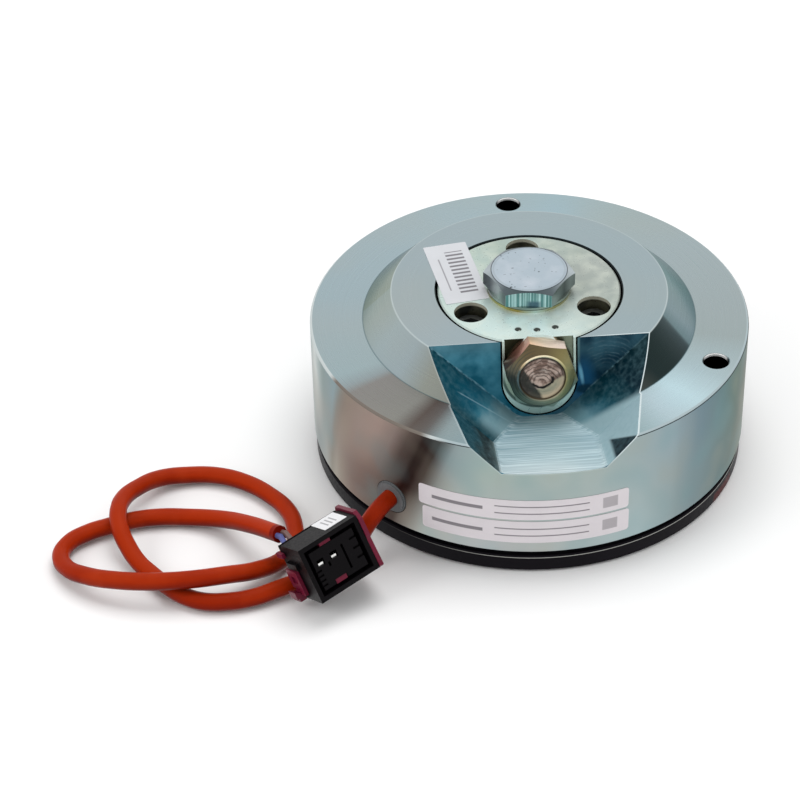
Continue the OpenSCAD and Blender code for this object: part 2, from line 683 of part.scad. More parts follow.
// Connector frame: x along its width, y towards its rear, z up, origin at its centre
module conn_frame() { translate([-64.3, -87, 16.6]) rotate([-27.7, -8.5, 38.7]) children(); }
function turn(v, a, i, j) = [for (k = [0:2]) k == i ? v[i] * cos(a) - v[j] * sin(a)
    : k == j ? v[i] * sin(a) + v[j] * cos(a) : v[k]];
function conn_point(v) = [-64.3, -87, 16.6]
    + turn(turn(turn(v, -27.7, 1, 2), -8.5, 2, 0), 38.7, 0, 1);
lead_end = lead_points[len(lead_points) - 1];
lead_dir = unit(lead_end - lead_points[len(lead_points) - 2]);
module wire(dx, dz, x) {
    s = unit(cross([0, 0, 1], lead_dir));
    a = lead_end + s * dx + [0, 0, dz];
    b = conn_point([x, conn_l / 2 - 3, 5.4]);
    tube([a - 3 * lead_dir, a + 2 * lead_dir, b + (a - b) * 0.42 + [0, 0, 0.4],
        conn_point([x, conn_l / 2 + 1.5, 5.4]), b], wire_d / 2, 8);
}
module wire_blue() { color("#4d5fb4") wire(-1.15, 0.1, -9.2); }
module wire_grey() { color("#8a8480") wire(1.15, 0.1, -6.2); }

// Places of the two contacts and of the red tabs in the connector's face
contact_x = [-0.7 - contact_pitch, -0.7];
contact_z = 2.1;
tab_x = -3.8;
tab_w = 4.2;

// Connector housing with its socket towards -y and an inner block in the socket
module connector_housing() {
    w = conn_w; l = conn_l; h = conn_h; t = conn_wall; g = socket_gap;
    color("#1b1b1e") conn_frame() difference() {
        union() {
            translate([-w / 2, -l / 2, -h / 2]) cube([w, l, h]);
            // guide ribs below, a rib on the left end and a step at the rear of the top
            for (x = [3, w - 8]) translate([x - w / 2, -l / 2 + 5, -h / 2 - 1])
                cube([3, l - 6, 1.5]);
            translate([-w / 2 - 1.1, -2.5, 2]) cube([1.5, 7, 2.2]);
        }
        // slot round the inner block, whose face lies a little behind the edge
        translate([-w / 2 + t, -l / 2 - 1, -h / 2 + t]) cube([w - 2 * t, 1.5, h - 2 * t]);
        difference() {
            translate([-w / 2 + t, -l / 2 - 1, -h / 2 + t])
                cube([w - 2 * t, socket_l + 1, h - 2 * t]);
            translate([-w / 2 + t + g, -l / 2 - 2, -h / 2 + t + g])
                cube([w - 2 * (t + g), socket_l + 4, h - 2 * (t + g)]);
        }
        // contact chambers and the keyway between them
        for (x = contact_x) translate([x - 1.3, -l / 2, contact_z - 1])
            cube([2.6, l + 2, 2.4]);
        translate([(contact_x[0] + contact_x[1]) / 2 - 0.4, -l / 2, contact_z - 2.6])
            cube([0.8, 2.2, 1.6]);
        // window of the lower red tab, coding grooves at the left and right
        translate([tab_x - 0.2, -l / 2, -7.2]) cube([tab_w + 0.4, 4, 1.8]);
        for (z = [-5.6:1.7:0.2]) translate([-w / 2 + t + g - 0.1, -l / 2, z])
            cube([2, 1.3, 0.7]);
        for (z = [-3.5, 0, 3.5]) translate([w / 2 - t - g - 2.4, -l / 2, z])
            cube([2.5, 1.5, 0.9]);
        translate([w / 2 - t - g - 6, -l / 2, -5]) cube([0.8, 3, 9]);
        // chamfer along the rear of the top, entries of the two wires
        translate([-w / 2 - 1, l / 2 - 1.2, h / 2]) rotate([45, 0, 0])
            translate([0, -1.2, -1.2]) cube([w + 2, 4, 2.4]);
        for (x = [-9.2, -6.2]) translate([x, l / 2 - 4, 5.4]) rotate([-90, 0, 0])
            cylinder(d = wire_d + 0.2, h = 10, $fn = 32);
    }
}

// Dark red lock: two tabs in the face, a slide and its latch on the left end
module connector_lock() {
    w = conn_w; l = conn_l; h = conn_h; t = conn_wall; g = socket_gap;
    color("#7c1f33") conn_frame() {
        translate([tab_x, -l / 2 + 0.7, h / 2 - t - g + 0.1]) cube([tab_w, 5, g - 0.2]);
        translate([tab_x, -l / 2 + 0.7, -7.1]) cube([tab_w, 3.1, 1.6]);
        translate([-w / 2 - 1.4, 4.6, 5.6]) cube([1.2, 4.4, 1.7]);
        difference() {
            union() {
                translate([-w / 2 - 1.4, -0.4, -7.6]) cube([1.2, 7.8, 9]);
                translate([-w / 2 - 3.6, 2.6, -8.4]) cube([3.4, 5, 2.9]);
                translate([-w / 2 - 2.6, 3.4, -h / 2]) cube([2.4, 5, 2.4]);
            }
            translate([-w / 2 - 4, 1.6, -3.4]) cube([3.2, 3.4, 2.4]);
            translate([-w / 2 - 3.8, 2.4, -5.6]) rotate([0, 30, 0]) cube([3, 6, 1.4]);
        }
    }
}

// Dark red cover on the connector's right end
module connector_cover() {
    w = conn_w; l = conn_l; h = conn_h;
    color("#9a2540") conn_frame() translate([w / 2 + 0.1, 0, 0]) rotate([90, 0, 90])
        linear_extrude(height = 1.5) polygon([[-l / 2 - 0.4, -h / 2 + 0.4], [-l / 2 + 1.2, -h / 2 - 0.5],
            [l / 2 - 1, -h / 2], [l / 2 + 0.3, -h / 2 + 2], [l / 2 + 0.3, h / 2 - 1],
            [l / 2 - 1, h / 2 + 0.9], [-l / 2 + 1.5, h / 2 + 0.9], [-l / 2 - 0.5, h / 2 - 1.6],
            [-l / 2 - 0.5, 2], [-l / 2 + 0.1, 0.6]]);
}

// Contacts behind the socket's face
module connector_terminals() {
    w = conn_w; l = conn_l;
    color("#c9cbcc") conn_frame() for (x = contact_x)
        translate([x - 0.9, -l / 2 + 1.2, contact_z - 0.9]) cube([1.8, l - 6, 0.9]);
}

magnet_body();
coil_former();
coil_winding();
coil_potting();
pressure_springs();
guide_pins();
armature_plate();
friction_disc();
lining_upper();
lining_lower();
drive_hub();
end_plate();
end_plate_screws();
spacer_ring();
hydraulic_insert();
insert_screw_right();
insert_screw_back();
insert_screw_left();
piston();
piston_seal();
centre_plug();
centre_plug_ring();
port_plug();
port_ring();
cable_grommet();
cable();
wire_blue();
wire_grey();
connector_housing();
connector_lock();
connector_cover();
connector_terminals();
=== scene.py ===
# %% [markdown]
# # A spring-applied brake on a studio table
#
# The brake is a heavy steel drum that an electric drive unit carries on its motor. Its
# solids come ready made from CAD, to the right size. What is left for Blender is what the
# eye sees: zinc with turning marks, a rubbery lead, small labels, and soft studio light.
# The first step loads the solids and sets up a helper that gives a part's box.

# %% Load the solids
import json
import math
import bpy
from mathutils import Matrix, Vector


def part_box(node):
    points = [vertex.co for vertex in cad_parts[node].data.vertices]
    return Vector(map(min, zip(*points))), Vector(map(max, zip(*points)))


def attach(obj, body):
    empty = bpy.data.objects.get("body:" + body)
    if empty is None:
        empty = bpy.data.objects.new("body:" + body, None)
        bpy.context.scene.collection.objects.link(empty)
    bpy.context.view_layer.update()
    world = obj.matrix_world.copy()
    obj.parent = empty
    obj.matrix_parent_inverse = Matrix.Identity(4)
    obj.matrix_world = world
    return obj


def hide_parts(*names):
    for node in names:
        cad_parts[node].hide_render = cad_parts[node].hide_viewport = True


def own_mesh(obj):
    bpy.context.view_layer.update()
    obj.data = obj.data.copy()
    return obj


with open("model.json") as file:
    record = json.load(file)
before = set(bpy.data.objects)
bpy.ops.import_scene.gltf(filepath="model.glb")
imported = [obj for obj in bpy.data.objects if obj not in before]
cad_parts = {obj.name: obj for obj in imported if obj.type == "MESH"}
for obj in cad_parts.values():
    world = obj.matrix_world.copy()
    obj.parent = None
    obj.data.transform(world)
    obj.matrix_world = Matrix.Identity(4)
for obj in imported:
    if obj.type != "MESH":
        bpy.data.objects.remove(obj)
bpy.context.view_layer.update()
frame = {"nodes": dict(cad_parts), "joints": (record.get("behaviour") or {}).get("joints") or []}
nodes = frame["nodes"]

# %% [markdown]
# The camera stands where the photographer stood: in front of the pocket, a little less
# than a metre away, looking 38 degrees down through a long lens. The place and turn were
# found by fitting the drum's circles, so the numbers are plain values here.

# %% Camera
scene = bpy.context.scene
scene.view_settings.view_transform = "Standard"


def add(name, data):
    """A new object in the scene."""
    obj = bpy.data.objects.new(name, data)
    scene.collection.objects.link(obj)
    return obj


lens = bpy.data.cameras.new("Camera")
lens.sensor_width, lens.lens = 36.0, 121.63
lens.clip_start, lens.clip_end = 0.05, 20.0
camera = add("Camera", lens)
camera.location = (0.0, -0.74893, 0.59872)
camera.rotation_euler = [math.radians(a) for a in (52.0379, 1.134, 2.5443)]
scene.camera = camera
print("camera", [round(v, 3) for v in camera.location])

# %% [markdown]
# The lead is a silicone-sheathed cable 6 mm thick. It leaves the drum level, drops to the
# table, makes two loose loops that cross each other, and climbs back to the connector.
# A curve with a round bevel is the natural way: its knots are the route, and each knot
# also says how thick the tube is there. Blender takes a curve's box from these radii, so
# the bevel stays at 1 and the knots hold the 3 millimetres. The points are the CAD tube's.

# %% Lead
route_mm = [
    (-33, -44, 19.5), (-39, -52, 19.5), (-45, -60, 19.5), (-49, -65.5, 18.5),
    (-53, -69.5, 14.5), (-56, -71, 9.5), (-61, -74, 5.6), (-67, -79, 3.4),
    (-72.5, -83, 3.1), (-77, -86, 3.1), (-82, -89, 3.1), (-89, -92.8, 3.1),
    (-97.5, -95, 3.1), (-106, -95, 3.1), (-113, -92, 3.1), (-118.5, -87.5, 3.1),
    (-124, -82, 3.1), (-129, -77, 4), (-133, -71.5, 6), (-136, -66, 8.6),
    (-137.5, -59.5, 9.8), (-137, -51, 9), (-133, -42, 7), (-126.5, -34, 4.5),
    (-117, -30.5, 3.2), (-107, -30.5, 3.1), (-97, -34, 3.1), (-87.5, -41, 3.1),
    (-81, -49, 3.1), (-78, -58, 3.1), (-77.5, -66, 3.1), (-81, -74.5, 3.6),
    (-88.5, -82.5, 6), (-98, -88.5, 9), (-110, -92, 9.8), (-122, -93, 9.6),
    (-134, -91.5, 8.6), (-145, -87, 6.4), (-152.5, -80.5, 4), (-155.5, -73.5, 3.1),
    (-154, -67.5, 3.1), (-148.5, -62, 3.1), (-141, -58, 3.1), (-134, -55, 3.1),
    (-124.5, -53, 3.1), (-114.5, -53, 3.2), (-103.5, -56, 5.2), (-93, -64.5, 10.5),
    (-81, -77, 17),
]
route = [Vector(point) / 1000 for point in route_mm]
lead_radius = 0.003

curve = bpy.data.curves.new("lead", "CURVE")
curve.dimensions = "3D"
curve.bevel_depth = 1.0
curve.bevel_resolution = 3
curve.resolution_u = 6
curve.use_fill_caps = True
spline = curve.splines.new("BEZIER")
spline.bezier_points.add(len(route) - 1)
for knot, point in zip(spline.bezier_points, route):
    knot.co = point
    knot.radius = lead_radius
    knot.handle_left_type = knot.handle_right_type = "AUTO"
lead = add("lead", curve)
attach(lead, "housing")
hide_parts("cable")
print("lead", round(sum((b - a).length for a, b in zip(route, route[1:])), 3), "m")

# %% [markdown]
# A finish is a recipe of nodes that runs from the object's own coordinates to the shader.
# Most of its steps are sums and products, so a node's output is wrapped in a small class:
# adding or multiplying two of these values puts a Math node into the material.

# %% Nodes and the values they give
class Value:
    """What a node gives out; sums and products of values make new nodes."""

    def __init__(self, tree, socket):
        self.tree, self.socket = tree, socket

    def into(self, new, name):
        """Link this value to an input of a node or shader."""
        self.tree.links.new(self.socket, new.inputs[name])

    def math(self, operation, other=0.0):
        return put(self.tree, "Math", operation=operation, in_0=self, in_1=other)

    def __add__(self, other):
        return self.math("ADD", other)

    def __sub__(self, other):
        return self.math("SUBTRACT", other)

    def __rsub__(self, other):
        return put(self.tree, "Math", operation="SUBTRACT", in_0=other, in_1=self)

    def __mul__(self, other):
        return self.math("MULTIPLY", other)

    __radd__ = __add__


def put(tree, kind, output=0, **settings):
    """Add a node, set its properties and its inputs (in_...), and give one output."""
    new = tree.nodes.new("ShaderNode" + kind)
    for key, value in settings.items():
        name = int(key[3:]) if key[3:].isdigit() else key[3:]
        if not key.startswith("in_"):
            setattr(new, key, value)
        elif isinstance(value, Value):
            value.into(new, name)
        else:
            new.inputs[name].default_value = value
    return Value(tree, new.outputs[output])


# %% [markdown]
# Every recipe uses the same few measures: soft limits, bands, distances and bearings.

# %% Limits and measures
def between(value, low, high, out_low=0.0, out_high=1.0):
    return put(value.tree, "MapRange", in_0=value, in_1=low, in_2=high, in_3=out_low, in_4=out_high)


def above(value, limit, soft):
    """0 below a limit and 1 above it, with a soft edge of the given width."""
    return put(value.tree, "MapRange", interpolation_type="SMOOTHSTEP", in_0=value,
               in_1=limit - soft / 2, in_2=limit + soft / 2)


def below(value, limit, soft):
    return 1 - above(value, limit, soft)


def band(value, low, high, soft):
    return above(value, low, soft) * below(value, high, soft)


def waves(value, low, high):
    return between(value.math("SINE"), low, high)


def distance(*parts):
    return sum(part * part for part in parts).math("SQRT")


def least(*values, kind="MINIMUM"):
    """The smallest of several values, or another Math of two at a time."""
    first, *others = values
    for other in others:
        first = first.math(kind, other)
    return first


def most(*values):
    return least(*values, kind="MAXIMUM")


def bearing(y, x):
    return y.math("ARCTAN2", x) * (180 / math.pi)


def spot(values, middle, half_sizes, soft):
    """1 inside an ellipse, 0 outside it, with a soft edge."""
    offs = [(value - at) * (1 / half) for value, at, half in zip(values, middle, half_sizes)]
    return below(distance(*offs), 1.0, soft)


# %% [markdown]
# Colours are given as a paint chip gives them, from 0 to 255, and turned into the light
# that the shader reckons with. Ramps, coats and noise lay them out, and a bump node turns
# a grey value into fine relief without any new faces.

# %% Colours, mixes and relief
def chip(r, g, b):
    """A paint chip's colour, 0 to 255 as a screen shows it, as linear light."""
    shares = (c / 255 for c in (r, g, b))
    return tuple(c / 12.92 if c <= 0.04045 else ((c + 0.055) / 1.055) ** 2.4 for c in shares)


def mix(share, a, b):
    """A colour between a and b; share 0 gives a, share 1 gives b."""
    a, b = (color if isinstance(color, Value) else (*color, 1) for color in (a, b))
    return put(share.tree, "Mix", 2, data_type="RGBA", in_0=share, in_6=a, in_7=b)


def ramp(value, *stops):
    """Colours along a value; a stop is a value and a chip's three numbers."""
    low, high = stops[0][0], stops[-1][0]
    colors = put(value.tree, "ValToRGB", in_0=between(value, low, high))
    elements = colors.socket.node.color_ramp.elements
    elements.remove(elements[1])
    for i, (at, *color) in enumerate(stops):
        where = (at - low) / (high - low)
        element = elements.new(where) if i else elements[0]
        element.position = where
        element.color = (*chip(*color), 1)
    return colors


def ring(value, *stops):
    """A ramp round an axis, whose first colour comes back at 180 degrees."""
    return ramp(value, *stops, (180, *stops[0][1:]))


def coats(color, *layers):
    """A colour with layers over it, each a share and a chip's three numbers."""
    for share, *paint in layers:
        color = mix(share, color, chip(*paint))
    return color


def vector(x, y=0.0, z=0.0):
    return put(x.tree, "CombineXYZ", in_0=x, in_1=y, in_2=z)


def noise_at(at, scale, detail=3.0):
    return put(at.tree, "TexNoise", in_0=at, in_Scale=scale, in_Detail=detail)


def noise(tree, scale, detail=3.0):
    return noise_at(put(tree, "TexCoord", "Object"), scale, detail)


def patches(tree, scale, low, high, detail=3.0):
    return between(noise(tree, scale, detail), low, high)


def bump(shader, height, depth, strength):
    relief = put(height.tree, "Bump", in_Strength=strength, in_Distance=depth, in_Height=height)
    relief.into(shader, "Normal")


def grain(shader, fine, smooth, rough, depth, strength):
    """Roughness and relief from the same fine noise."""
    between(fine, 0.3, 0.7, smooth, rough).into(shader, "Roughness")
    bump(shader, fine, depth, strength)


def finish(name, color, metallic=0.0, roughness=0.5, **sockets):
    """A new material and its shader, with plain values on the shader's sockets."""
    mat = bpy.data.materials.new(name)
    mat.use_nodes = True
    mat.diffuse_color = (*color, 1)
    shader = mat.node_tree.nodes["Principled BSDF"]
    sockets.update(Base_Color=(*color, 1), Metallic=metallic, Roughness=roughness)
    for socket, value in sockets.items():
        shader.inputs[socket.replace("_", " ")].default_value = value
    return mat, mat.node_tree, shader


def give(obj, mat):
    """Put a finish on every face of an object."""
    if not obj.material_slots:
        obj.data.materials.append(mat)
    for slot in obj.material_slots:
        slot.material = mat


# %% [markdown]
# The drum is a turned piece, so its finish is laid out as a turner would mark it: by the
# distance from the axis, the height, and the angle round the axis. Millimetres and
# degrees keep the numbers easy to read against the drawing.

# %% Where a point lies
def vector_math(tree, kind, a, b, output="Value"):
    return put(tree, "VectorMath", output, operation=kind, in_0=a, in_1=b)


def along(tree, direction, origin=(0, 0, 0)):
    """Millimetres from an origin along a direction."""
    moved = vector_math(tree, "SUBTRACT", put(tree, "TexCoord", "Object"), origin, "Vector")
    return vector_math(tree, "DOT_PRODUCT", moved, direction) * 1000


def away_from(tree, point):
    """Metres from a point."""
    return vector_math(tree, "DISTANCE", put(tree, "TexCoord", "Object"), point)


def facing(tree, direction):
    """How squarely a face looks along a direction, from -1 to 1."""
    return vector_math(tree, "DOT_PRODUCT", put(tree, "TexCoord", "Normal"), direction)


def on_drum(tree):
    """Distance from the axis and height in millimetres, angle round it in degrees."""
    x, y, z = (along(tree, axis) for axis in ((1, 0, 0), (0, 1, 0), (0, 0, 1)))
    return distance(x, y), z, bearing(y, x)


def round_the_axis(radius, degrees):
    turn = math.radians(degrees)
    return radius * math.cos(turn), radius * math.sin(turn)


def nearest(tree, places):
    """Millimetres to the nearest of a few upright axes."""
    x, y = along(tree, (1, 0, 0)), along(tree, (0, 1, 0))
    return least(*(distance(x - a, y - b) for a, b in places))


boss_top, flange_top, wall_radius, cone_foot, boss_radius = 62.3, 51.8, 75.0, 56.9, 47.0
front, upright = (0, -1, 0), (0, 0, 1)
print("drum of", 2 * wall_radius, "mm")

# %% [markdown]
# The pocket was milled, not turned. Its own axes are the drawing's: across, outwards
# along the floor, and up along the back wall, which leans back 10.9 degrees. Each of the
# four flanks is a plane there, so its distance is one dot product.

# %% Where a point lies in the pocket
pocket_turn, pocket_lean = 6.9, 10.9
pocket_axes = (Matrix.Rotation(math.radians(pocket_turn), 4, "Z")
               @ Matrix.Translation((0, -0.0293, 0.0623))
               @ Matrix.Rotation(math.radians(-pocket_lean), 4, "X")
               @ Matrix.Translation((0, 0, -0.0282)))
across, outwards, upwards = (pocket_axes.to_3x3() @ Vector(v) for v in ((1, 0, 0), (0, -1, 0), (0, 0, 1)))
corner = pocket_axes.translation


def in_the_pocket(tree):
    """Millimetres across, outwards and upwards from the middle of the pocket's corner."""
    return [along(tree, axis, corner) for axis in (across, outwards, upwards)]


def flank(side, yaw, slope, half):
    """The plane of a flank: its inward normal and a point on it."""
    turn = math.radians(yaw)
    level = across * (-side * math.cos(turn)) + outwards * math.sin(turn)
    normal = (level + upwards * slope).normalized()
    return normal, corner + across * side * half / 1000


flanks = {(side, kind): flank(side, *shape) for side in (-1, 1)
          for kind, shape in (("inner", (28.9, 0.919, 7.1)), ("outer", (0.0, 1.0, 17.1)))}
print("pocket corner", [round(c * 1000, 1) for c in corner])

# %% [markdown]
# Bright zinc is a thin metal skin with a faint play of blue, green and pink. Each turned
# area gets a ramp round the axis: grey-blue on the flange, greener on the slope. The ramps
# also paint reflections: a brown sector and a dark line on the flange's left front where it
# mirrors the lead, a bright highlight on its front right, and a dark reflected wedge on the
# slope's front right.

# %% Zinc of the flange and the slope
body_zinc, tree, shader = finish("zinc of the body", chip(160, 178, 184), 1.0, 0.28,
                                 Specular_IOR_Level=0.12, Anisotropic=0.5)
radius, height, angle = on_drum(tree)
flange = ring(
    angle, (-180, 160, 178, 184), (-150, 157, 176, 180), (-145, 148, 160, 163), (-142, 138, 136, 133),
    (-126, 137, 137, 132), (-121, 84, 74, 71), (-117, 86, 83, 84), (-112, 140, 160, 165),
    (-62, 146, 172, 179), (-50, 186, 207, 216), (-40, 196, 222, 230), (-28, 174, 194, 200),
    (-10, 160, 172, 173), (60, 164, 179, 183), (82, 163, 187, 198), (125, 162, 181, 187))
slope = ramp(
    angle, (-180, 138, 157, 153), (-170, 148, 164, 162), (-155, 155, 172, 176), (-140, 154, 168, 172),
    (-128, 142, 147, 140), (-52, 16, 24, 30), (-35, 6, 12, 17), (-30, 8, 14, 20), (-24, 26, 32, 38),
    (-18.5, 44, 55, 62), (-17, 100, 122, 128), (-10, 120, 141, 149), (0, 106, 134, 140),
    (14, 84, 130, 131), (28, 112, 144, 145), (42, 132, 148, 154), (148, 119, 136, 138),
    (165, 130, 147, 136))
print("two ramps round the axis")

# %% [markdown]
# The wall's ramps paint its reflections: brown and dark red on the left, where it mirrors
# the lead, and dark teal on the front right. One ramp is for its top and one for its foot.
# The painted dark streak of the lead leans, so on the left front the ramps read an angle to
# which each millimetre down the wall adds three tenths of a degree.

# %% Zinc of the wall
leaning = angle + (48.9 - height) * 0.3
seen_angle = angle + band(angle, -152, -96, 12) * (leaning - angle)
wall_high = ring(
    seen_angle, (-180, 162, 175, 175), (-171, 162, 175, 175), (-164, 211, 219, 218),
    (-157, 136, 151, 150), (-149, 144, 167, 173), (-146, 142, 143, 135), (-143, 149, 139, 128),
    (-136, 171, 160, 152), (-130, 185, 171, 162), (-125, 167, 156, 149), (-121, 102, 89, 84),
    (-117, 53, 37, 35), (-112.5, 55, 40, 39), (-108, 159, 173, 175), (-98, 164, 181, 175),
    (-75, 173, 186, 184), (-50, 152, 171, 181), (-40, 106, 133, 148), (-30, 78, 118, 123),
    (-22, 59, 101, 90), (-13, 88, 101, 90), (20, 135, 150, 150), (120, 160, 175, 179))
wall_low = ring(
    seen_angle, (-180, 158, 168, 166), (-171, 158, 168, 166), (-164, 137, 141, 139),
    (-156, 161, 164, 159), (-148, 145, 140, 129), (-142, 164, 157, 146), (-136, 147, 134, 124),
    (-130, 130, 110, 101), (-124, 112, 93, 84), (-119, 87, 67, 61), (-115.5, 68, 34, 30),
    (-111.5, 120, 109, 103), (-106, 175, 175, 169), (-92, 178, 181, 181), (-60, 173, 189, 192),
    (-42, 111, 137, 148), (-29, 61, 101, 108), (-20, 63, 88, 82), (-12, 96, 109, 98),
    (20, 131, 145, 143), (120, 154, 168, 173))
wall = mix(between(height, 16, 44), wall_low, wall_high)
print("two ramps for the wall")

# %% [markdown]
# Height and distance tell which area a point is on. Slow noise lays a yellowish and a
# greenish cloud over all of it. The wall gets the lead's dark streak as a painted reflection,
# and a painted sheen in soft teal and warm streaks.

# %% Areas put together
on_wall = above(radius, wall_radius - 0.6, 0.1) * below(height, flange_top - 0.3, 0.1)
color = mix(above(height, boss_top - 0.1, 0.1), slope, chip(161, 176, 181))
color = mix(above(radius, cone_foot, 0.1), color, flange)
color = mix(on_wall, color, wall)
sheen = noise_at(vector(angle * 0.05, height * 0.03), 1.6, 1.0)
color = coats(color, (patches(tree, 22, 0.42, 0.66, 2.0) * 0.16, 186, 176, 158),
              (patches(tree, 9, 0.45, 0.65, 1.0) * 0.14, 140, 176, 170),
              (band(leaning, -117.4, -114.4, 1.8) * on_wall * 0.6, 48, 30, 28),
              (between(sheen, 0.5, 0.68) * on_wall * 0.2, 112, 160, 166),
              (between(sheen, 0.46, 0.3) * on_wall * 0.16, 176, 168, 146))
print("zinc with", len(tree.nodes), "nodes so far")

# %% [markdown]
# Edges catch the light, and it is painted on. The chamfer of the rim is a painted bright
# line with a painted dark one beside it on the right, and brownish on the left where it
# mirrors the lead. The crease at the foot of the boss is a thin painted shade line, the
# boss's top edge a painted highlight, and the seat's edge round the insert painted shade.

# %% Edges of the turned areas
outer_half = above(radius - height, 23.55, 0.1)
rim_shade = mix(outer_half, chip(176, 192, 196), chip(34, 42, 44))
rim_shade = mix(band(angle, -112, 40, 6), chip(206, 214, 214), rim_shade)
rim_shade = mix(band(angle, -150, -116, 4), rim_shade, chip(128, 120, 112))
color = mix(above(radius + height, 126.02, 0.06), color, rim_shade)
crease = band(radius, cone_foot - 0.15, cone_foot + 0.2, 0.2) * above(height, 51.0, 0.5)
boss_edge = band(radius, boss_radius - 0.25, boss_radius + 0.2, 0.2) * above(height, 61.9, 0.3)
seat_edge = below(radius, 32.0, 0.2) * above(height, boss_top - 0.1, 0.1)
turned_skin = coats(color, (crease * 0.55, 70, 98, 104), (boss_edge * 0.5, 205, 216, 216),
                    (seat_edge * 0.85, 26, 54, 58))
print("edges of the drum")

# %% [markdown]
# The milled skin has a teal coating; painted shade deepens it at the back and on the
# flanks, and painted light makes the floor bright.
# A face's own plane passes through it, so the smallest of all distances is zero on the
# pocket's faces and below zero outside it.

# %% Zinc of the pocket's back wall
u, d, h = in_the_pocket(tree)
cut = least(d, h, *(along(tree, normal, point) for normal, point in flanks.values()))
in_pocket = above(cut, -0.03, 0.02) * above(height, 30, 1)
pocket_edge = above(cut, -0.42, 0.2) * (1 - in_pocket) * above(height, 30, 1)

milled_place = vector(u, d, h)
mist = between(noise_at(milled_place, 0.11), 0.38, 0.66)
fine_mist = between(noise_at(milled_place, 0.5, 4.0), 0.4, 0.7)
streaks = between(noise_at(vector(u * 0.035, d * 1.6, h * 1.6), 1.0), 0.3, 0.7)

# On the back wall the left half is lighter, with painted light towards its top; the right half is darker,
# as painted shade, with painted light at its foot.
back_left = coats(chip(22, 98, 120), (mist * 0.8, 90, 160, 182), (above(h, 25, 6) * 0.4, 96, 130, 138))
back_right = coats(chip(6, 46, 64), (mist * 0.6, 64, 108, 124), (below(h, 9, 4) * 0.8, 60, 104, 122))
print("back wall's ground colours")

# %% [markdown]
# Right of the lug the cutter's round marks show as pale arcs, and the lug's painted
# reflection lies on the wall: a blue glow with a bright streak in it and a dark place below.

# %% Arcs and glow on the back wall
rows = waves((distance(u - 22, h - 14) + mist * 1.2) * 4.4, 0.1, 1.0)
arcs_share = rows * fine_mist * spot((u, h), (24.5, 22.5), (7, 5.5), 1.2) * 0.34
back_right = coats(back_right, (arcs_share, 124, 156, 168),
                   (spot((u, h), (14.6, 12.0), (3.6, 8.0), 1.2) * 0.85, 22, 84, 124),
                   (spot((u + h * 0.16, h), (16.4, 14.6), (0.6, 3.4), 1.4) * 0.85, 128, 196, 226),
                   (spot((u, h), (15.6, 9.0), (3.6, 1.7), 0.8) * 0.85, 4, 44, 60),
                   (band(u, 12.3, 13.6, 0.8) * above(h, 19, 6) * 0.6, 110, 146, 150))
back = mix(above(u, 4, 6), back_left, back_right)
print("back wall")

# %% [markdown]
# On the flanks painted light and shade change the colour with height, from a deep teal in
# shade at the top to the pale, lit floor, and towards the drum's rim painted shade darkens
# them on the left and painted light brightens them on the right, where the outer flank has
# a corner of painted shade.

# %% Zinc of the flanks
looks_out, looks_up, looks_right = (facing(tree, v) for v in (outwards, upwards, across))
stray = h + (mist - 0.5) * 3.0
left_in = ramp(stray, (0, 136, 168, 176), (4, 122, 158, 168), (7, 58, 118, 136), (11, 24, 86, 106),
               (16, 8, 68, 84), (28, 4, 58, 70))
left_in = coats(left_in, (above(d, 14, 7), 22, 60, 70))
left_out = ramp(stray, (0, 70, 84, 84), (2.2, 18, 22, 24), (4.6, 20, 32, 34), (7, 20, 62, 74),
                (20, 8, 60, 72))
right_in = ramp(stray, (0, 106, 144, 154), (3, 98, 138, 150), (6, 44, 92, 108), (10, 12, 58, 70),
                (15, 0, 30, 42), (28, 10, 40, 46))
right_in = coats(right_in, (above(d - h * 0.5, 9.0, 4.0), 146, 174, 182))
dark_corner = above(d - u * 1.62, -6.6, 1.6) * above(h, 3.0, 1.4)
right_out = coats(chip(158, 186, 194), (dark_corner, 26, 38, 46))
inner = above(looks_out, 0.18, 0.1)
sides = mix(above(looks_right, 0.0, 0.1), mix(inner, right_out, right_in), mix(inner, left_out, left_in))
sides = coats(sides, (fine_mist * 0.18, 110, 150, 160))
print("flanks")

# %% [markdown]
# The floor's ramp paints light and shade: it is darker near the back wall, palest near the
# rim and lighter to the right, with long streaks across. Where a flank meets the back wall,
# the cutter left a light line, and a second scratch runs below it on the left.

# %% Floor and scratches
floor = ramp(d, (0, 108, 152, 164), (4, 130, 172, 184), (10, 150, 188, 200), (24, 164, 194, 203),
             (30, 188, 214, 221), (38, 208, 224, 227), (44, 220, 230, 230))
floor = coats(floor, (above(u, 7, 10) * 0.35, 190, 218, 226), (streaks * 0.5, 226, 238, 240),
              ((1 - streaks) * 0.5, 84, 122, 136))
milled = mix(above(looks_up, 0.88, 0.16), sides, floor)
milled = mix(above(looks_out, 0.8, 0.2), milled, back)
fold_left, fold_right = (
    below(along(tree, *flanks[(side, "inner")]), reach, 0.3) * below(d, depth, 0.3)
    for side, reach, depth in ((-1, 0.35, 0.4), (1, 0.3, 0.35)))
scratch = (d - (h * 0.28 + 4.7)).math("ABSOLUTE")
scratch = below(scratch, 0.3, 0.3) * band(h, 1.0, 15, 2) * below(u, 0, 1)
milled = coats(milled, (scratch * 0.35, 156, 190, 202),
               (fold_left * above(h, 2, 2) * fine_mist * 0.9, 132, 176, 190),
               (fold_right * above(h, 7, 4) * fine_mist * 0.7, 104, 140, 150))
print("pocket with five faces")
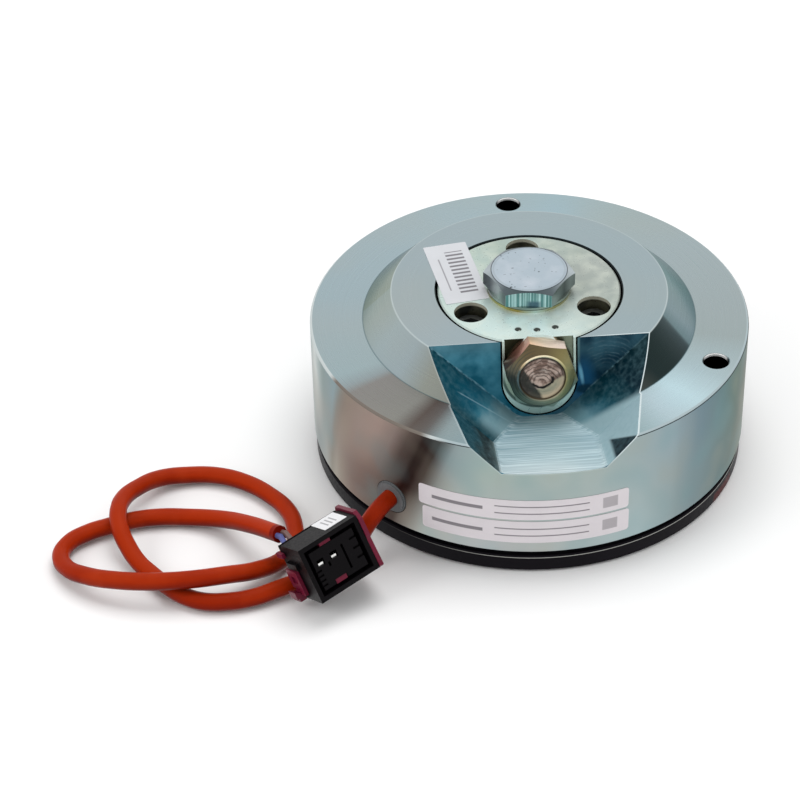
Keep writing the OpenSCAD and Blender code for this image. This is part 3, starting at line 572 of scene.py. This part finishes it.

# %% [markdown]
# Seats, bores and the gap round the insert are painted dark as shade: all that lies below
# the turned skin and isn't the pocket. The two flange holes get a painted highlight, a
# bright crescent on the far side, and a painted bright line runs round the pocket's edge.

# %% Seats, holes and the whole skin
hole_places = [round_the_axis(67.7, a) for a in (96.7, -22.2)]
mouth = below(nearest(tree, hole_places), 4.6, 0.2) * above(facing(tree, front), 0.35, 0.5)
mouth = mouth * band(height, 50.5, 51.5, 0.3)
deep_slope = cone_foot - (height - flange_top) * 0.943 - radius
low_part = below(height, flange_top - 0.2, 0.05)
depth = low_part * (wall_radius - 0.7 - radius) + (1 - low_part) * deep_slope
seats = above(depth, 0.4, 0.1) * below(height, boss_top - 0.05, 0.02) * (1 - in_pocket)
edge_share = pocket_edge * between(above(u, 20, 8), 0, 1, 0.22, 0.95)
color = mix(in_pocket, coats(turned_skin, (edge_share, 222, 234, 236)), milled)
color = coats(color, (seats, 30, 36, 38), (mouth, 250, 252, 252))
color.into(shader, "Base Color")
between(most(in_pocket, mouth), 0, 1, 1.0, 0.2).into(shader, "Metallic")

relief = noise_at(vector(radius, height), 1.1, 2.0) * (1 - in_pocket) + streaks * in_pocket
relief = relief * between(on_wall, 0, 1, 1.0, 0.4)
(between(relief, 0.3, 0.7, 0.24, 0.34) + in_pocket * 0.1 + on_wall * 0.2).into(shader, "Roughness")
bump(shader, relief, 0.00003, 0.5)
put(tree, "Tangent", direction_type="RADIAL", axis="Z").into(shader, "Tangent")
give(nodes["magnet_body"], body_zinc)
print("zinc with", len(tree.nodes), "nodes")

# %% [markdown]
# The smaller metal pieces need the same idea with fewer parts: a base colour that a slow
# noise shifts a little, and a fine grain in the bump.

# %% Smaller metal pieces
def metal(name, color_a, color_b, roughness):
    mat, tree, shader = finish(name, color_a, 1.0, roughness)
    mix(patches(tree, 60, 0.35, 0.65), color_a, color_b).into(shader, "Base Color")
    grain(shader, noise(tree, 900, 2.0), roughness * 0.85, roughness * 1.2, 0.00002, 0.4)
    return mat


screw_zinc = metal("zinc of the screws", chip(76, 80, 82), chip(120, 122, 122), 0.38)
plain_steel = metal("ground steel", (0.42, 0.43, 0.44), (0.5, 0.5, 0.5), 0.35)
tin = metal("tin of the blades", (0.80, 0.80, 0.78), (0.9, 0.9, 0.88), 0.25)
copper = metal("enamelled copper", (0.45, 0.20, 0.08), (0.55, 0.26, 0.10), 0.35)
print("four metals")

# %% [markdown]
# The insert is plated too, but its skin is a pale yellow-green and mottled. Round the axis
# it is brightest in front, painted light where it mirrors the plug, and darker on the right
# and at the back. Its side and the slot round its lug lie in a narrow gap and are painted
# dark as shade.

# %% Top of the insert
mat, tree, shader = finish("pale zinc of the insert", chip(186, 203, 196), 1.0, 0.3)
radius, height, angle = on_drum(tree)
top = ring(angle, (-180, 178, 196, 190), (-120, 194, 214, 210), (-85, 204, 224, 222),
           (-50, 186, 202, 197), (-10, 154, 164, 158), (35, 160, 168, 162), (90, 156, 172, 166),
           (140, 172, 190, 182))
mottle, smear = patches(tree, 190, 0.42, 0.68, 5.0), patches(tree, 70, 0.5, 0.72, 4.0)
top = coats(top, (mottle * 0.35, 216, 222, 208), (smear * 0.3, 146, 158, 140))
print("top of the insert")

# %% [markdown]
# The recess in the lug's face is painted darker than the rim round it, as shade, most of
# all on its upper left. Below the plug lies the plug's painted reflection: a pale ring with
# a dark line outside it and a dark middle.

# %% Lug of the insert
lug_round = 15.6
u, d, h = in_the_pocket(tree)
right_side, in_recess = above(u, 2, 8), below(d, -0.6, 0.3)
recess = mix(right_side, chip(76, 80, 60), chip(128, 138, 120))
from_port, lower = distance(u, h - lug_round), below(h, 15.0, 6)
lug = coats(mix(in_recess, chip(196, 212, 202), recess),
            (above(h, 12, 16) * in_recess * (1 - right_side) * 0.6, 40, 44, 34),
            (band(from_port, 9.6, 11.9, 1.0) * lower * 0.75, 148, 158, 132),
            (band(from_port, 11.6, 12.6, 0.5) * lower * 0.85, 48, 66, 58),
            (below(from_port, 9.7, 0.8) * lower * 0.9, 34, 42, 34))
print("lug with its recess")

# %% [markdown]
# The screws' bores are painted dark as shade and a little rusty, with a painted highlight
# on the rim at the back. Three small punched marks lie in front of the plug, each with a
# painted glint at its edge.

# %% Screws, punched marks and the whole insert
screw_places = [round_the_axis(24, a) for a in (-24, 96, 216)]
mark_places = [round_the_axis(23.6, -83.1 + i * 15.3) for i in (-1, 0, 1)]
# Faces that neither look outwards nor up are painted dark as shade.
color = mix(above(facing(tree, outwards), 0.7, 0.3), chip(24, 30, 30), lug)
bore = below(nearest(tree, screw_places), 5.9, 0.1) * above(height, 51, 0.5)
rust = patches(tree, 120, 0.35, 0.65)
back_rim = above(height, 61.0, 0.5) * above(facing(tree, front), 0.2, 0.5)
color = mix(bore, color, coats(chip(34, 36, 32), (rust, 100, 98, 78), (back_rim * 0.9, 240, 238, 216)))
top_face = above(facing(tree, upright), 0.6, 0.3) * above(height, 61.2, 0.2)
near_top = above(height, 60, 0.5)
glint = nearest(tree, [(x + 0.35, y - 0.1) for x, y in mark_places])
color = coats(mix(top_face, color, top),
              (below(nearest(tree, mark_places), 1.15, 0.3) * near_top, 52, 58, 54),
              (below(glint, 0.32, 0.25) * near_top, 206, 214, 206))
color.into(shader, "Base Color")
between(most(top_face, bore), 0, 1, 1.0, 0.45).into(shader, "Metallic")
grain(shader, noise(tree, 800), 0.26, 0.38, 0.00003, 0.35)
give(nodes["hydraulic_insert"], mat)
print("insert with", len(tree.nodes), "nodes")

# %% [markdown]
# The centre plug's top is a dull silver with small dark pits, and its flats are polished:
# their colours are painted reflections, teal with bright strips, and ramps round the axis
# lighten and darken the flats and the slanted edge. Which is which comes from the way a
# face looks.

# %% Zinc of the centre plug
mat, tree, shader = finish("zinc of the centre plug", chip(190, 200, 208), 1.0, 0.3)
radius, height, angle = on_drum(tree)
pits = above(noise(tree, 900, 1.0), 0.7, 0.04) * patches(tree, 130, 0.42, 0.6, 1.0)
scuffs = patches(tree, 90, 0.45, 0.7, 4.0)
top = coats(chip(180, 194, 204), (scuffs * 0.6, 210, 217, 226),
            (band(radius, 11.8, 12.5, 0.4) * 0.35, 150, 162, 168), (pits * 0.85, 62, 68, 74))
strips = between(noise_at(vector(angle), 0.3, 2.0), 0.44, 0.6)
low_strip = band(angle, -92, -74, 10) * below(height, 66.6, 1.4)
front_flat = coats(chip(96, 142, 142), (strips, 206, 234, 236), (low_strip, 84, 112, 126))
left_flat = ramp(angle, (-180, 62, 74, 78), (-163, 92, 104, 108), (-150, 158, 170, 170),
                 (-138, 176, 190, 188), (-127, 120, 132, 134), (-110, 84, 96, 98))
right_flat = ramp(angle, (-70, 96, 110, 112), (-56, 150, 166, 166), (-42, 128, 142, 142),
                  (-28, 84, 96, 98), (-12, 140, 150, 152), (10, 110, 122, 124))
slant_face = ring(angle, (-180, 176, 186, 190), (-140, 130, 140, 144), (-126, 92, 102, 106),
                  (-90, 74, 86, 90), (-58, 96, 106, 110), (-30, 150, 160, 164), (0, 180, 190, 194),
                  (60, 120, 130, 134), (120, 110, 120, 124))
flats = mix(above(angle, -60, 1), mix(above(angle, -120, 1), left_flat, front_flat), right_flat)
up = facing(tree, upright)
color = mix(above(up, 0.96, 0.03), mix(above(up, 0.6, 0.2), flats, slant_face), top)
top_edge = band(radius, 12.72, 13.08, 0.16) * above(height, 70, 0.3)
coats(color, (top_edge * 0.75, 48, 54, 58)).into(shader, "Base Color")
bump(shader, noise(tree, 700), 0.00004, 0.4)
give(nodes["centre_plug"], mat)
print("centre plug with", len(tree.nodes), "nodes")

# %% [markdown]
# The ring under the plug is two in one to the eye: yellow below, silver above, and a dark
# line between them. Round the axis both ramps paint reflections, lightest in front.

# %% Yellow ring
mat, tree, shader = finish("yellow ring under the plug", chip(176, 164, 106), 1.0, 0.28)
radius, height, angle = on_drum(tree)
yellow = ring(angle, (-180, 120, 118, 80), (-130, 200, 190, 122), (-105, 170, 150, 84),
              (-80, 196, 214, 206), (-55, 176, 168, 120), (0, 120, 122, 96))
silver = ring(angle, (-180, 120, 130, 126), (-140, 176, 188, 182), (-100, 134, 148, 140),
              (-60, 168, 182, 174), (-20, 138, 146, 136))
tone = mix(above(height, 63.35, 0.08), yellow, silver)
coats(tone, (band(height, 63.2, 63.5, 0.1) * 0.8, 54, 58, 44)).into(shader, "Base Color")
bump(shader, noise(tree, 600, 2.0), 0.00003, 0.4)
give(nodes["centre_plug_ring"], mat)
print("ring with", len(tree.nodes), "nodes")

# %% [markdown]
# Helpers select a piece, apply a modifier, and put a piece's place and turn into its mesh.

# %% Select, apply a modifier, settle a piece
def alone(piece):
    """Make a piece the active one and deselect all others."""
    bpy.ops.object.select_all(action="DESELECT")
    piece.select_set(True)
    bpy.context.view_layer.objects.active = piece


def modifier(piece, kind, **settings):
    """Add a modifier with its settings and apply it."""
    alone(piece)
    new = piece.modifiers.new(kind.lower(), kind)
    for key, value in settings.items():
        setattr(new, key, value)
    bpy.ops.object.modifier_apply(modifier=new.name)


def settle(piece, turn, at=(0, 0, 0)):
    """Turn a piece by a matrix and move it, and put its place into its mesh."""
    alone(piece)
    piece.rotation_euler = turn.to_euler()
    piece.location = at
    bpy.ops.object.transform_apply(location=True, rotation=True, scale=True)


# %% [markdown]
# The port plug has a round nose, a rolled rim and a dish. It was turned from bar and got
# its six flats afterwards, and it is made the same way here. A cylinder's top face is
# extruded and scaled from one step of the profile to the next, and the Boolean modifier
# keeps what lies inside a hexagon.

# %% Turn a blank and cut flats
def turned(name, profile, sides=96):
    """A turned piece along z from pairs of height and radius in millimetres, back to front."""
    (z0, r0), (z1, r1) = profile[:2]
    bpy.ops.mesh.primitive_cylinder_add(vertices=sides, radius=r0 / 1000, depth=(z1 - z0) / 1000)
    blank = bpy.context.object
    blank.name = name
    settle(blank, Matrix.Identity(3), (0, 0, (z0 + z1) / 2000))
    bpy.ops.object.mode_set(mode="EDIT")
    bpy.ops.mesh.select_mode(type="FACE")
    bpy.ops.mesh.select_all(action="DESELECT")
    bpy.ops.object.mode_set(mode="OBJECT")
    for face in blank.data.polygons:
        face.select = face.normal.z > 0.9
    bpy.ops.object.mode_set(mode="EDIT")
    bpy.ops.transform.resize(value=(r1 / r0, r1 / r0, 1), center_override=(0, 0, z1 / 1000))
    for (z, r), (z_next, r_next) in zip(profile[1:], profile[2:]):
        bpy.ops.mesh.extrude_region_move(TRANSFORM_OT_translate={"value": (0, 0, (z_next - z) / 1000)})
        bpy.ops.transform.resize(value=(r_next / r, r_next / r, 1), center_override=(0, 0, z_next / 1000))
    bpy.ops.object.mode_set(mode="OBJECT")
    return blank


def cut_hexagon(blank, across_flats, turn):
    """Keep the part of a turned piece that lies inside a hexagon."""
    bpy.ops.mesh.primitive_cylinder_add(vertices=6, radius=across_flats / math.sqrt(3) / 1000, depth=0.1)
    bar = bpy.context.object
    settle(bar, Matrix.Rotation(math.radians(turn), 3, "Z"))
    modifier(blank, "BOOLEAN", operation="INTERSECT", solver="EXACT", object=bar)
    bpy.data.objects.remove(bar)


port_height = 18.2
plug_profile = [(-10.4, 6.2), (-9.6, 7.0), (0.6, 7.05), (0.65, 12.6), (6.5, 12.62), (7.2, 11.1),
                (7.6, 10.5), (8.4, 9.6), (8.85, 8.9), (9.08, 8.4), (9.1, 8.1), (8.95, 7.75),
                (8.0, 7.3), (7.8, 6.6), (8.0, 5.2), (8.15, 3.9), (8.0, 2.6), (7.85, 0.6)]
gold_plug = turned("port_plug_turned", plug_profile)
cut_hexagon(gold_plug, 21.6, 18)
modifier(gold_plug, "BEVEL", width=0.00012, segments=2, limit_method="ANGLE",
         angle_limit=math.radians(28))
alone(gold_plug)
bpy.ops.object.shade_smooth_by_angle(angle=math.radians(32))
port_axes = Matrix((across, upwards, outwards)).transposed()
settle(gold_plug, port_axes, corner + upwards * port_height / 1000)
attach(gold_plug, "housing")
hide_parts("port_plug")
print("port plug with", len(gold_plug.data.polygons), "faces")

# %% [markdown]
# The plug is passivated to a pinkish gold, and round its axis the colours paint light and
# shade. Its flats go from bright, lit gold at the top to dark red shade on the left; the
# nose is in painted shade at the top and on the left; a painted highlight on the rim
# surrounds the dish, with painted shade on the rim's inner slope. Distance and bearing are
# taken round the port's own axis, which is the outward one of the pocket.

# %% Gold of the flats, the nose and the rim
mat, tree, shader = finish("gold of the port plug", chip(200, 164, 136), 0.6, 0.3)
u, d, h = in_the_pocket(tree)
rise = h - port_height
reach, turn = distance(u, rise), bearing(rise, u)
flats = ring(turn, (-180, 84, 62, 50), (-150, 74, 66, 50), (-120, 136, 136, 104), (-90, 120, 116, 76),
             (-60, 150, 140, 98), (-20, 120, 118, 72), (20, 128, 128, 96), (46.5, 136, 126, 90),
             (48.5, 216, 198, 186), (80, 222, 202, 180), (106.5, 220, 186, 152), (108.5, 180, 138, 118),
             (122, 164, 118, 102), (138, 124, 82, 70), (156, 84, 64, 50))
nose = ring(turn, (-180, 78, 84, 78), (-140, 88, 104, 88), (-90, 150, 156, 134), (-40, 150, 148, 104),
            (10, 134, 134, 96), (50, 124, 114, 72), (80, 96, 84, 56), (110, 92, 78, 52),
            (140, 100, 90, 64))
rim = ring(turn, (-180, 72, 92, 96), (-140, 52, 64, 56), (-100, 128, 132, 112), (-60, 158, 156, 128),
           (-20, 134, 130, 88), (20, 150, 144, 98), (50, 214, 202, 152), (80, 250, 236, 200),
           (125, 255, 236, 200), (140, 206, 180, 140), (156, 84, 96, 92))
rim = coats(rim, (below(reach, 7.85, 0.2), 70, 60, 44))
ragged = noise(tree, 380, 4.0) - 0.5
nose_arcs = waves((reach + ragged * 0.5) * 7.0, 0.2, 1.0)
nose = coats(nose, (nose_arcs * above(turn.math("ABSOLUTE"), 110, 40) * 0.5, 36, 52, 54))
print("flats, nose and rim")

# %% [markdown]
# In the dish the cutter left ragged turned arcs round a centre a little below the axis. A
# dark crescent lies under them. The lower left of the dish is painted in shade, a painted
# shadow lies under the upper rim, and the lower right is painted lighter where it mirrors
# the floor.

# %% Gold of the dish
wobble = ragged * 2.2
arcs = waves((distance(u, rise + 2.2) + wobble) * 5.0, 0.2, 0.9)
worn = patches(tree, 420, 0.42, 0.6, 4.0)
crescent = band(reach + wobble, 3.3, 4.1, 0.4) * band(turn, -150, 2, 10) * above(ragged, -0.12, 0.1)
dark_side = above(u * -0.8 + rise * -0.45 + ragged * 1.4, 3.3, 1.0) * below(reach, 7.7, 0.3)
inner_shadow = band(reach, 6.7, 7.8, 0.5) * band(turn, 10, 168, 24)
dish = coats(chip(118, 96, 86), (worn, 190, 168, 156), (arcs * above(rise, -1.5, 2) * 0.75, 74, 60, 54),
             (above(u * 0.5 - rise, 3.4, 1.0), 176, 164, 140), (crescent, 20, 14, 12),
             (dark_side * 0.92, 34, 38, 34), (inner_shadow * 0.85, 74, 56, 46))
print("dish")

# %% [markdown]
# From the middle outwards come the dish, the rim, the nose and the flats. In the lower
# half a pale painted highlight on the edge, with a dark line of painted shade inside it,
# follows the hexagon.

# %% Gold put together
looks_out = facing(tree, outwards)
low_half = below(rise, -1.5, 3.0) * above(looks_out, 0.3, 0.2)
color = mix(above(reach, 8.6, 0.15), mix(above(reach, 7.5, 0.15), dish, rim), nose)
color = coats(color, (above(reach, 10.9, 0.3) * low_half * 0.8, 140, 160, 146),
              (band(reach, 10.5, 11.0, 0.3) * low_half * 0.7, 52, 64, 54))
color = mix(above(reach, 9.9, 0.1) * below(looks_out, 0.25, 0.2), color, flats)
color.into(shader, "Base Color")
bump(shader, arcs * 0.6 + worn, 0.00006, 0.5)
give(gold_plug, mat)
print("port plug's gold with", len(tree.nodes), "nodes")

# %% [markdown]
# The washer behind the plug is painted dark as shade but for its top, which has the plug's
# bright gold and, where it comes out of the boss, the insert's pale zinc.

# %% Gold of the washer
mat, tree, shader = finish("gold of the port's washer", chip(90, 80, 50), 0.6, 0.35)
u, d, h = in_the_pocket(tree)
tone = ring(bearing(h - port_height, u), (-180, 44, 40, 26), (40, 40, 38, 24), (56, 52, 46, 30),
            (62, 206, 178, 152), (100, 222, 190, 156), (113, 196, 150, 122), (118, 60, 36, 28))
tone = coats(tone, (patches(tree, 300, 0.4, 0.7) * 0.25, 96, 84, 54),
             (above(along(tree, upright), boss_top, 0.2), 216, 228, 222))
tone.into(shader, "Base Color")
bump(shader, noise(tree, 700, 2.0), 0.00003, 0.4)
give(nodes["port_ring"], mat)
print("washer's gold with", len(tree.nodes), "nodes")

# %% [markdown]
# Rubber and plastic are not metal: their colour lies under a dull or slightly glossy skin.
# The specular level of dark mouldings is low, because a pale studio would wash them out.

# %% Rubber and plastic
def plastic(name, color, roughness, scale=700, depth=0.00004, spread=0.25, gloss=0.5):
    mat, tree, shader = finish(name, color, 0.0, roughness, Specular_IOR_Level=gloss)
    darker = tuple(c * (1 - spread) for c in color)
    lighter = tuple(min(1, c * (1 + spread)) for c in color)
    mix(patches(tree, 40, 0.3, 0.7), darker, lighter).into(shader, "Base Color")
    grain(shader, noise(tree, scale, 2.0), roughness * 0.85, min(1, roughness * 1.15), depth, 0.35)
    return mat


black_paint = plastic("black end plate", (0.005, 0.004, 0.006), 0.45, 900, gloss=0.05)
black_gap = plastic("black spacer", (0.002, 0.002, 0.003), 0.7, 900, gloss=0.08)
grommet_rubber = plastic("grey grommet", (0.13, 0.14, 0.145), 0.5)
black_plastic = plastic("black housing", (0.003, 0.0024, 0.003), 0.4, 1200, 0.00003, gloss=0.07)
red_plastic = plastic("dark red slide", chip(96, 18, 42), 0.4, 1200, 0.00003, gloss=0.2)
blue_wire = plastic("blue wire", chip(82, 88, 140), 0.35, gloss=0.3)
grey_wire = plastic("grey wire", chip(112, 88, 84), 0.4, gloss=0.3)
lining_grain = plastic("friction lining", (0.08, 0.07, 0.06), 0.85, 300, 0.0002, 0.5)
resin = plastic("cast resin", (0.03, 0.032, 0.036), 0.3)
rubber = plastic("black rubber", (0.01, 0.01, 0.01), 0.6)
print("ten kinds of rubber and plastic")

# %% [markdown]
# The lead's silicone is painted lighter on top and darker below, as light and shade, with
# patches of a deeper and a paler red, and it is dark red close to the connector. The end
# plate's edge has a painted highlight, a bright line near its upper corner, and a small dark
# red mark low down on the right.

# %% Silicone of the lead, edge of the end plate
sheath, tree, shader = finish("orange silicone", chip(170, 48, 14), 0.0, 0.4, Specular_IOR_Level=0.06)
tone = ramp(facing(tree, upright), (-1, 84, 14, 2), (-0.3, 104, 16, 0), (0.15, 146, 34, 2),
            (0.55, 166, 44, 6), (1, 158, 46, 14))
tone = coats(tone, (patches(tree, 26, 0.45, 0.62) * 0.55, 122, 20, 0),
             (patches(tree, 60, 0.5, 0.7) * 0.4, 178, 60, 26),
             (below(away_from(tree, route[-1]), 0.0036, 0.0004) * 0.8, 104, 8, 6))
tone.into(shader, "Base Color")
bump(shader, noise(tree, 500, 2.0), 0.00003, 0.35)
lead.data.materials.append(sheath)

tree = black_paint.node_tree
shader = tree.nodes["Principled BSDF"]
radius, height, angle = on_drum(tree)
outside = above(radius, 73.8, 0.1)
color = Value(tree, shader.inputs["Base Color"].links[0].from_socket)
bright_edge = band(height, 5.75, 6.02, 0.08) * outside * band(angle, -110, 10, 50)
red_mark = band(angle, -31, -20, 1.5) * outside * below(height, 4.0, 0.6)
color = coats(color, (bright_edge * 0.8, 190, 190, 184), (red_mark, 66, 12, 14))
color.into(shader, "Base Color")
print("end plate with", len(tree.nodes), "nodes")

# %% [markdown]
# The remaining solids take one of these finishes each.

# %% Give each other solid its finish
solids_of = {
    screw_zinc: ("insert_screw_right", "insert_screw_back", "insert_screw_left"),
    black_paint: ("end_plate", "end_plate_screws"), black_gap: ("spacer_ring",),
    grommet_rubber: ("cable_grommet",), black_plastic: ("connector_housing", "coil_former"),
    red_plastic: ("connector_lock", "connector_cover"), tin: ("connector_terminals",),
    blue_wire: ("wire_blue",), grey_wire: ("wire_grey",),
    plain_steel: ("armature_plate", "friction_disc", "drive_hub", "guide_pins", "piston"),
    rubber: ("piston_seal",), lining_grain: ("lining_upper", "lining_lower"),
    copper: ("coil_winding",), resin: ("coil_potting",),
}
for mat, names in solids_of.items():
    for name in names:
        give(nodes[name], mat)
print(sum(map(len, solids_of.values())), "more solids have a finish")

# %% [markdown]
# Inside, six springs push the armature plate down, and when the magnet draws the plate up
# they get shorter by its travel. A copy of the CAD springs takes their place, with its
# doubled points merged and smooth shading.

# %% Springs
springs = add("shortening_springs", nodes["pressure_springs"].data.copy())
alone(springs)
bpy.ops.object.mode_set(mode="EDIT")
bpy.ops.mesh.select_all(action="SELECT")
bpy.ops.mesh.remove_doubles(threshold=1e-6)
bpy.ops.object.mode_set(mode="OBJECT")
bpy.ops.object.shade_smooth_by_angle(angle=math.radians(40))
give(springs, plain_steel)
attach(springs, "housing")
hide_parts("pressure_springs")
low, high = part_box("pressure_springs")
travel = next(j for j in frame["joints"] if j["name"] == "armature_slide")["range_m"][1]
1 - travel / (high.z - low.z)
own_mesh(springs)
print("springs", round((high.z - low.z) * 1000, 2), "mm long, travel", travel * 1000, "mm")

# %% [markdown]
# The drum carries two long paper labels one above the other on its wall, and a small one
# lies across the boss and the insert; another sits on the connector. A label is a flat
# grid with rounded corners, a tenth of a millimetre thick.

# %% Make a thin sheet
def flat_sheet(name, width, height, corner_radius, pieces=1):
    """A thin level grid with round corners, its middle at the origin; sizes in millimetres."""
    bpy.ops.mesh.primitive_grid_add(x_subdivisions=pieces, y_subdivisions=1, size=1.0)
    sheet = bpy.context.object
    sheet.name = name
    bpy.ops.object.mode_set(mode="EDIT")
    bpy.ops.mesh.select_all(action="SELECT")
    bpy.ops.transform.resize(value=(width / 1000, height / 1000, 1))
    bpy.ops.mesh.select_all(action="DESELECT")
    bpy.ops.mesh.select_mode(type="VERT")
    bpy.ops.object.mode_set(mode="OBJECT")
    for vertex in sheet.data.vertices:
        x, y = (abs(c) * 2000 for c in vertex.co.xy)
        vertex.select = x > width - 0.002 and y > height - 0.002
    bpy.ops.object.mode_set(mode="EDIT")
    bpy.ops.mesh.bevel(offset=corner_radius / 1000, segments=5, affect="VERTICES")
    bpy.ops.object.mode_set(mode="OBJECT")
    return sheet


def lay_label(sheet, turn, at, tone, lines):
    """Give a sheet its thickness, place and paper."""
    modifier(sheet, "SOLIDIFY", thickness=0.0001, offset=1.0)
    settle(sheet, turn, at)
    give(sheet, paper("paper of " + sheet.name, tone, lines))
    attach(sheet, "housing")


# %% [markdown]
# Paper is matt and a little warm. The labels carry nothing but ruled lines: a line is a
# band of an angle and a height on the wall, or of two distances on a flat label, so no
# picture is needed.

# %% Paper with ruled lines
def paper(name, tone, lines):
    """Label paper; lines(tree) gives the share of ink at a point."""
    mat, tree, shader = finish(name, tone, 0.0, 0.55, Specular_IOR_Level=0.3)
    color = mix(patches(tree, 160, 0.35, 0.7, 4.0) * 0.25, tone, tuple(c * 0.86 for c in tone))
    mix(lines(tree), color, chip(92, 88, 94)).into(shader, "Base Color")
    bump(shader, noise(tree, 900, 2.0), 0.00002, 0.3)
    return mat


def wall_lines(middle):
    """Two thin ruled lines, a short heavier one and a square, round a height on the wall."""
    def lines(tree):
        radius, height, angle = on_drum(tree)
        rise = height - middle
        heavy = band(angle, -114.5, -101, 0.3) * band(rise, -0.7, 0.7, 0.2)
        thin = band(rise, 1.1, 1.6, 0.2) + band(rise, -1.8, -1.3, 0.2)
        thin = thin * band(angle, -98, -74, 0.3)
        square = band(angle, -70.5, -66.5, 0.3) * band(rise, -2.2, 2.2, 0.2)
        return most(heavy, thin, square * 0.6) * 0.8
    return lines


# %% [markdown]
# The long labels are stood up, bent round the wall and then moved out to it.

# %% Labels on the wall
label_radius = 75.02
for name, low, high, start, end in (("label_upper", 22.9, 31.1, -118.2, -63.5),
                                    ("label_lower", 13.1, 22.1, -117.2, -63.3)):
    span = math.radians(end - start)
    sheet = flat_sheet(name, label_radius * span, high - low, 1.1, 56)
    settle(sheet, Matrix.Rotation(math.radians(90), 3, "X"))
    modifier(sheet, "SIMPLE_DEFORM", deform_method="BEND", deform_axis="Z", angle=span)
    middle = (start + end) / 2
    at = Vector((*round_the_axis(label_radius, middle), (low + high) / 2)) / 1000
    lay_label(sheet, Matrix.Rotation(math.radians(middle + 90), 3, "Z"), at, chip(222, 216, 220),
              wall_lines((low + high) / 2))
    print(name, "spans", round(end - start, 1), "degrees")

# %% [markdown]
# The label on the boss lies askew over the gap round the insert. Its stripes run across
# it, evenly spaced, and the place where it lies is given by its middle and its turn.

# %% Label on the boss
boss_label_at = Vector((-0.0251, 0.0088, 0.06232))
slant = Matrix.Rotation(math.atan2(-33.4, 9.2), 3, "Z")


def boss_lines(tree):
    length, width = (along(tree, slant @ Vector(axis), boss_label_at) for axis in ((1, 0, 0), (0, 1, 0)))
    stripe = above((length * (2 * math.pi / 2.2)).math("SINE"), 0.1, 0.5)
    stripe = stripe * band(width, -1.2, 5.0, 0.2) * band(length, -12.6, 12.6, 0.2)
    rule = band(width, -4.3, -3.8, 0.2) * band(length, -9, 10, 0.2)
    return most(stripe, rule * 0.7) * 0.85


sheet = flat_sheet("label_boss", 34.6, 15.1, 0.4)
lay_label(sheet, slant, boss_label_at, chip(196, 198, 202), boss_lines)
print("label on the boss")

# %% [markdown]
# The connector lies tipped on its side, so its label needs the connector's own axes: its
# width, its depth and its height.

# %% Label on the connector
plug_axes = Matrix(((0.7716, -0.5006, -0.3924), (0.6188, 0.7337, 0.2808), (0.1473, -0.4595, 0.8759)))
plug_middle = Vector((-0.0643, -0.087, 0.0166))


def plug_lines(tree):
    x, y = (along(tree, plug_axes @ Vector(axis), plug_middle) for axis in ((1, 0, 0), (0, 1, 0)))
    row = band((x * (2 * math.pi / 1.6)).math("SINE"), 0.35, 2.0, 0.3)
    return row * band(y, -2.6, 3.6, 0.2) * band(x, 3.0, 7.8, 0.2) * 0.6


sheet = flat_sheet("label_connector", 8.8, 10.8, 0.3)
at = plug_middle + plug_axes @ Vector((0.0054, 0.0005, 0.00993))
lay_label(sheet, plug_axes, at, chip(224, 224, 226), plug_lines)
print("label on the connector")

# %% [markdown]
# The world is white to the camera and to reflections, and a calm grey to everything else,
# so that colours come out as they are written. The table keeps the shadow of the brake,
# fades to the world's white further out, and is clear from below.

# %% Table and world
def rays(tree, *kinds):
    """1 for rays of any of the kinds, else 0."""
    return most(*(put(tree, "LightPath", "Is " + kind + " Ray") for kind in kinds))


bpy.ops.mesh.primitive_plane_add(size=1.6, location=(0, 0, -0.0001))
table = bpy.context.object
table.name = "table"
mat, tree, shader = finish("white table", (0.9, 0.9, 0.9), 0.0, 0.8)
glow = put(tree, "Emission", in_0=(1, 1, 1, 1), in_1=1.0)
far_out = above(away_from(tree, (-0.04, 0, 0)), 0.42, 0.24)
white = most(rays(tree, "Glossy", "Transmission"), far_out * rays(tree, "Camera"))
sheet = put(tree, "MixShader", in_0=white, in_1=Value(tree, shader.outputs[0]), in_2=glow)
from_below = put(tree, "NewGeometry", "Backfacing")
sheet = put(tree, "MixShader", in_0=from_below, in_1=sheet, in_2=put(tree, "BsdfTransparent"))
sheet.into(tree.nodes["Material Output"], "Surface")
table.data.materials.append(mat)

world = bpy.data.worlds.new("studio")
scene.world = world
world.use_nodes = True
tree = world.node_tree
back = tree.nodes["Background"]
back.inputs["Color"].default_value = (1, 1, 1, 1)
between(rays(tree, "Camera", "Glossy", "Transmission"), 0, 1, 0.62, 1.0).into(back, "Strength")
print("white table under a white world")

# %% [markdown]
# The light is soft: one large lamp above and two weaker ones at the sides.

# %% Lamps
def lamp(name, place_m, size, watts):
    """A soft lamp aimed at the brake; metal doesn't mirror it."""
    data = bpy.data.lights.new(name, "AREA")
    data.shape = "RECTANGLE"
    data.size, data.size_y = size
    data.energy = watts
    obj = add(name, data)
    obj.location = place_m
    aim = Vector((0, 0, 0.02)) - Vector(place_m)
    obj.rotation_euler = aim.to_track_quat("-Z", "Y").to_euler()
    obj.visible_glossy = False


lamp("lamp above", (0.1, 0.3, 1.3), (0.9, 0.9), 9)
lamp("lamp left", (-1.1, -0.4, 0.8), (0.7, 0.7), 5)
lamp("lamp right", (1.1, -0.2, 0.7), (0.5, 0.9), 3)
print("three lamps")
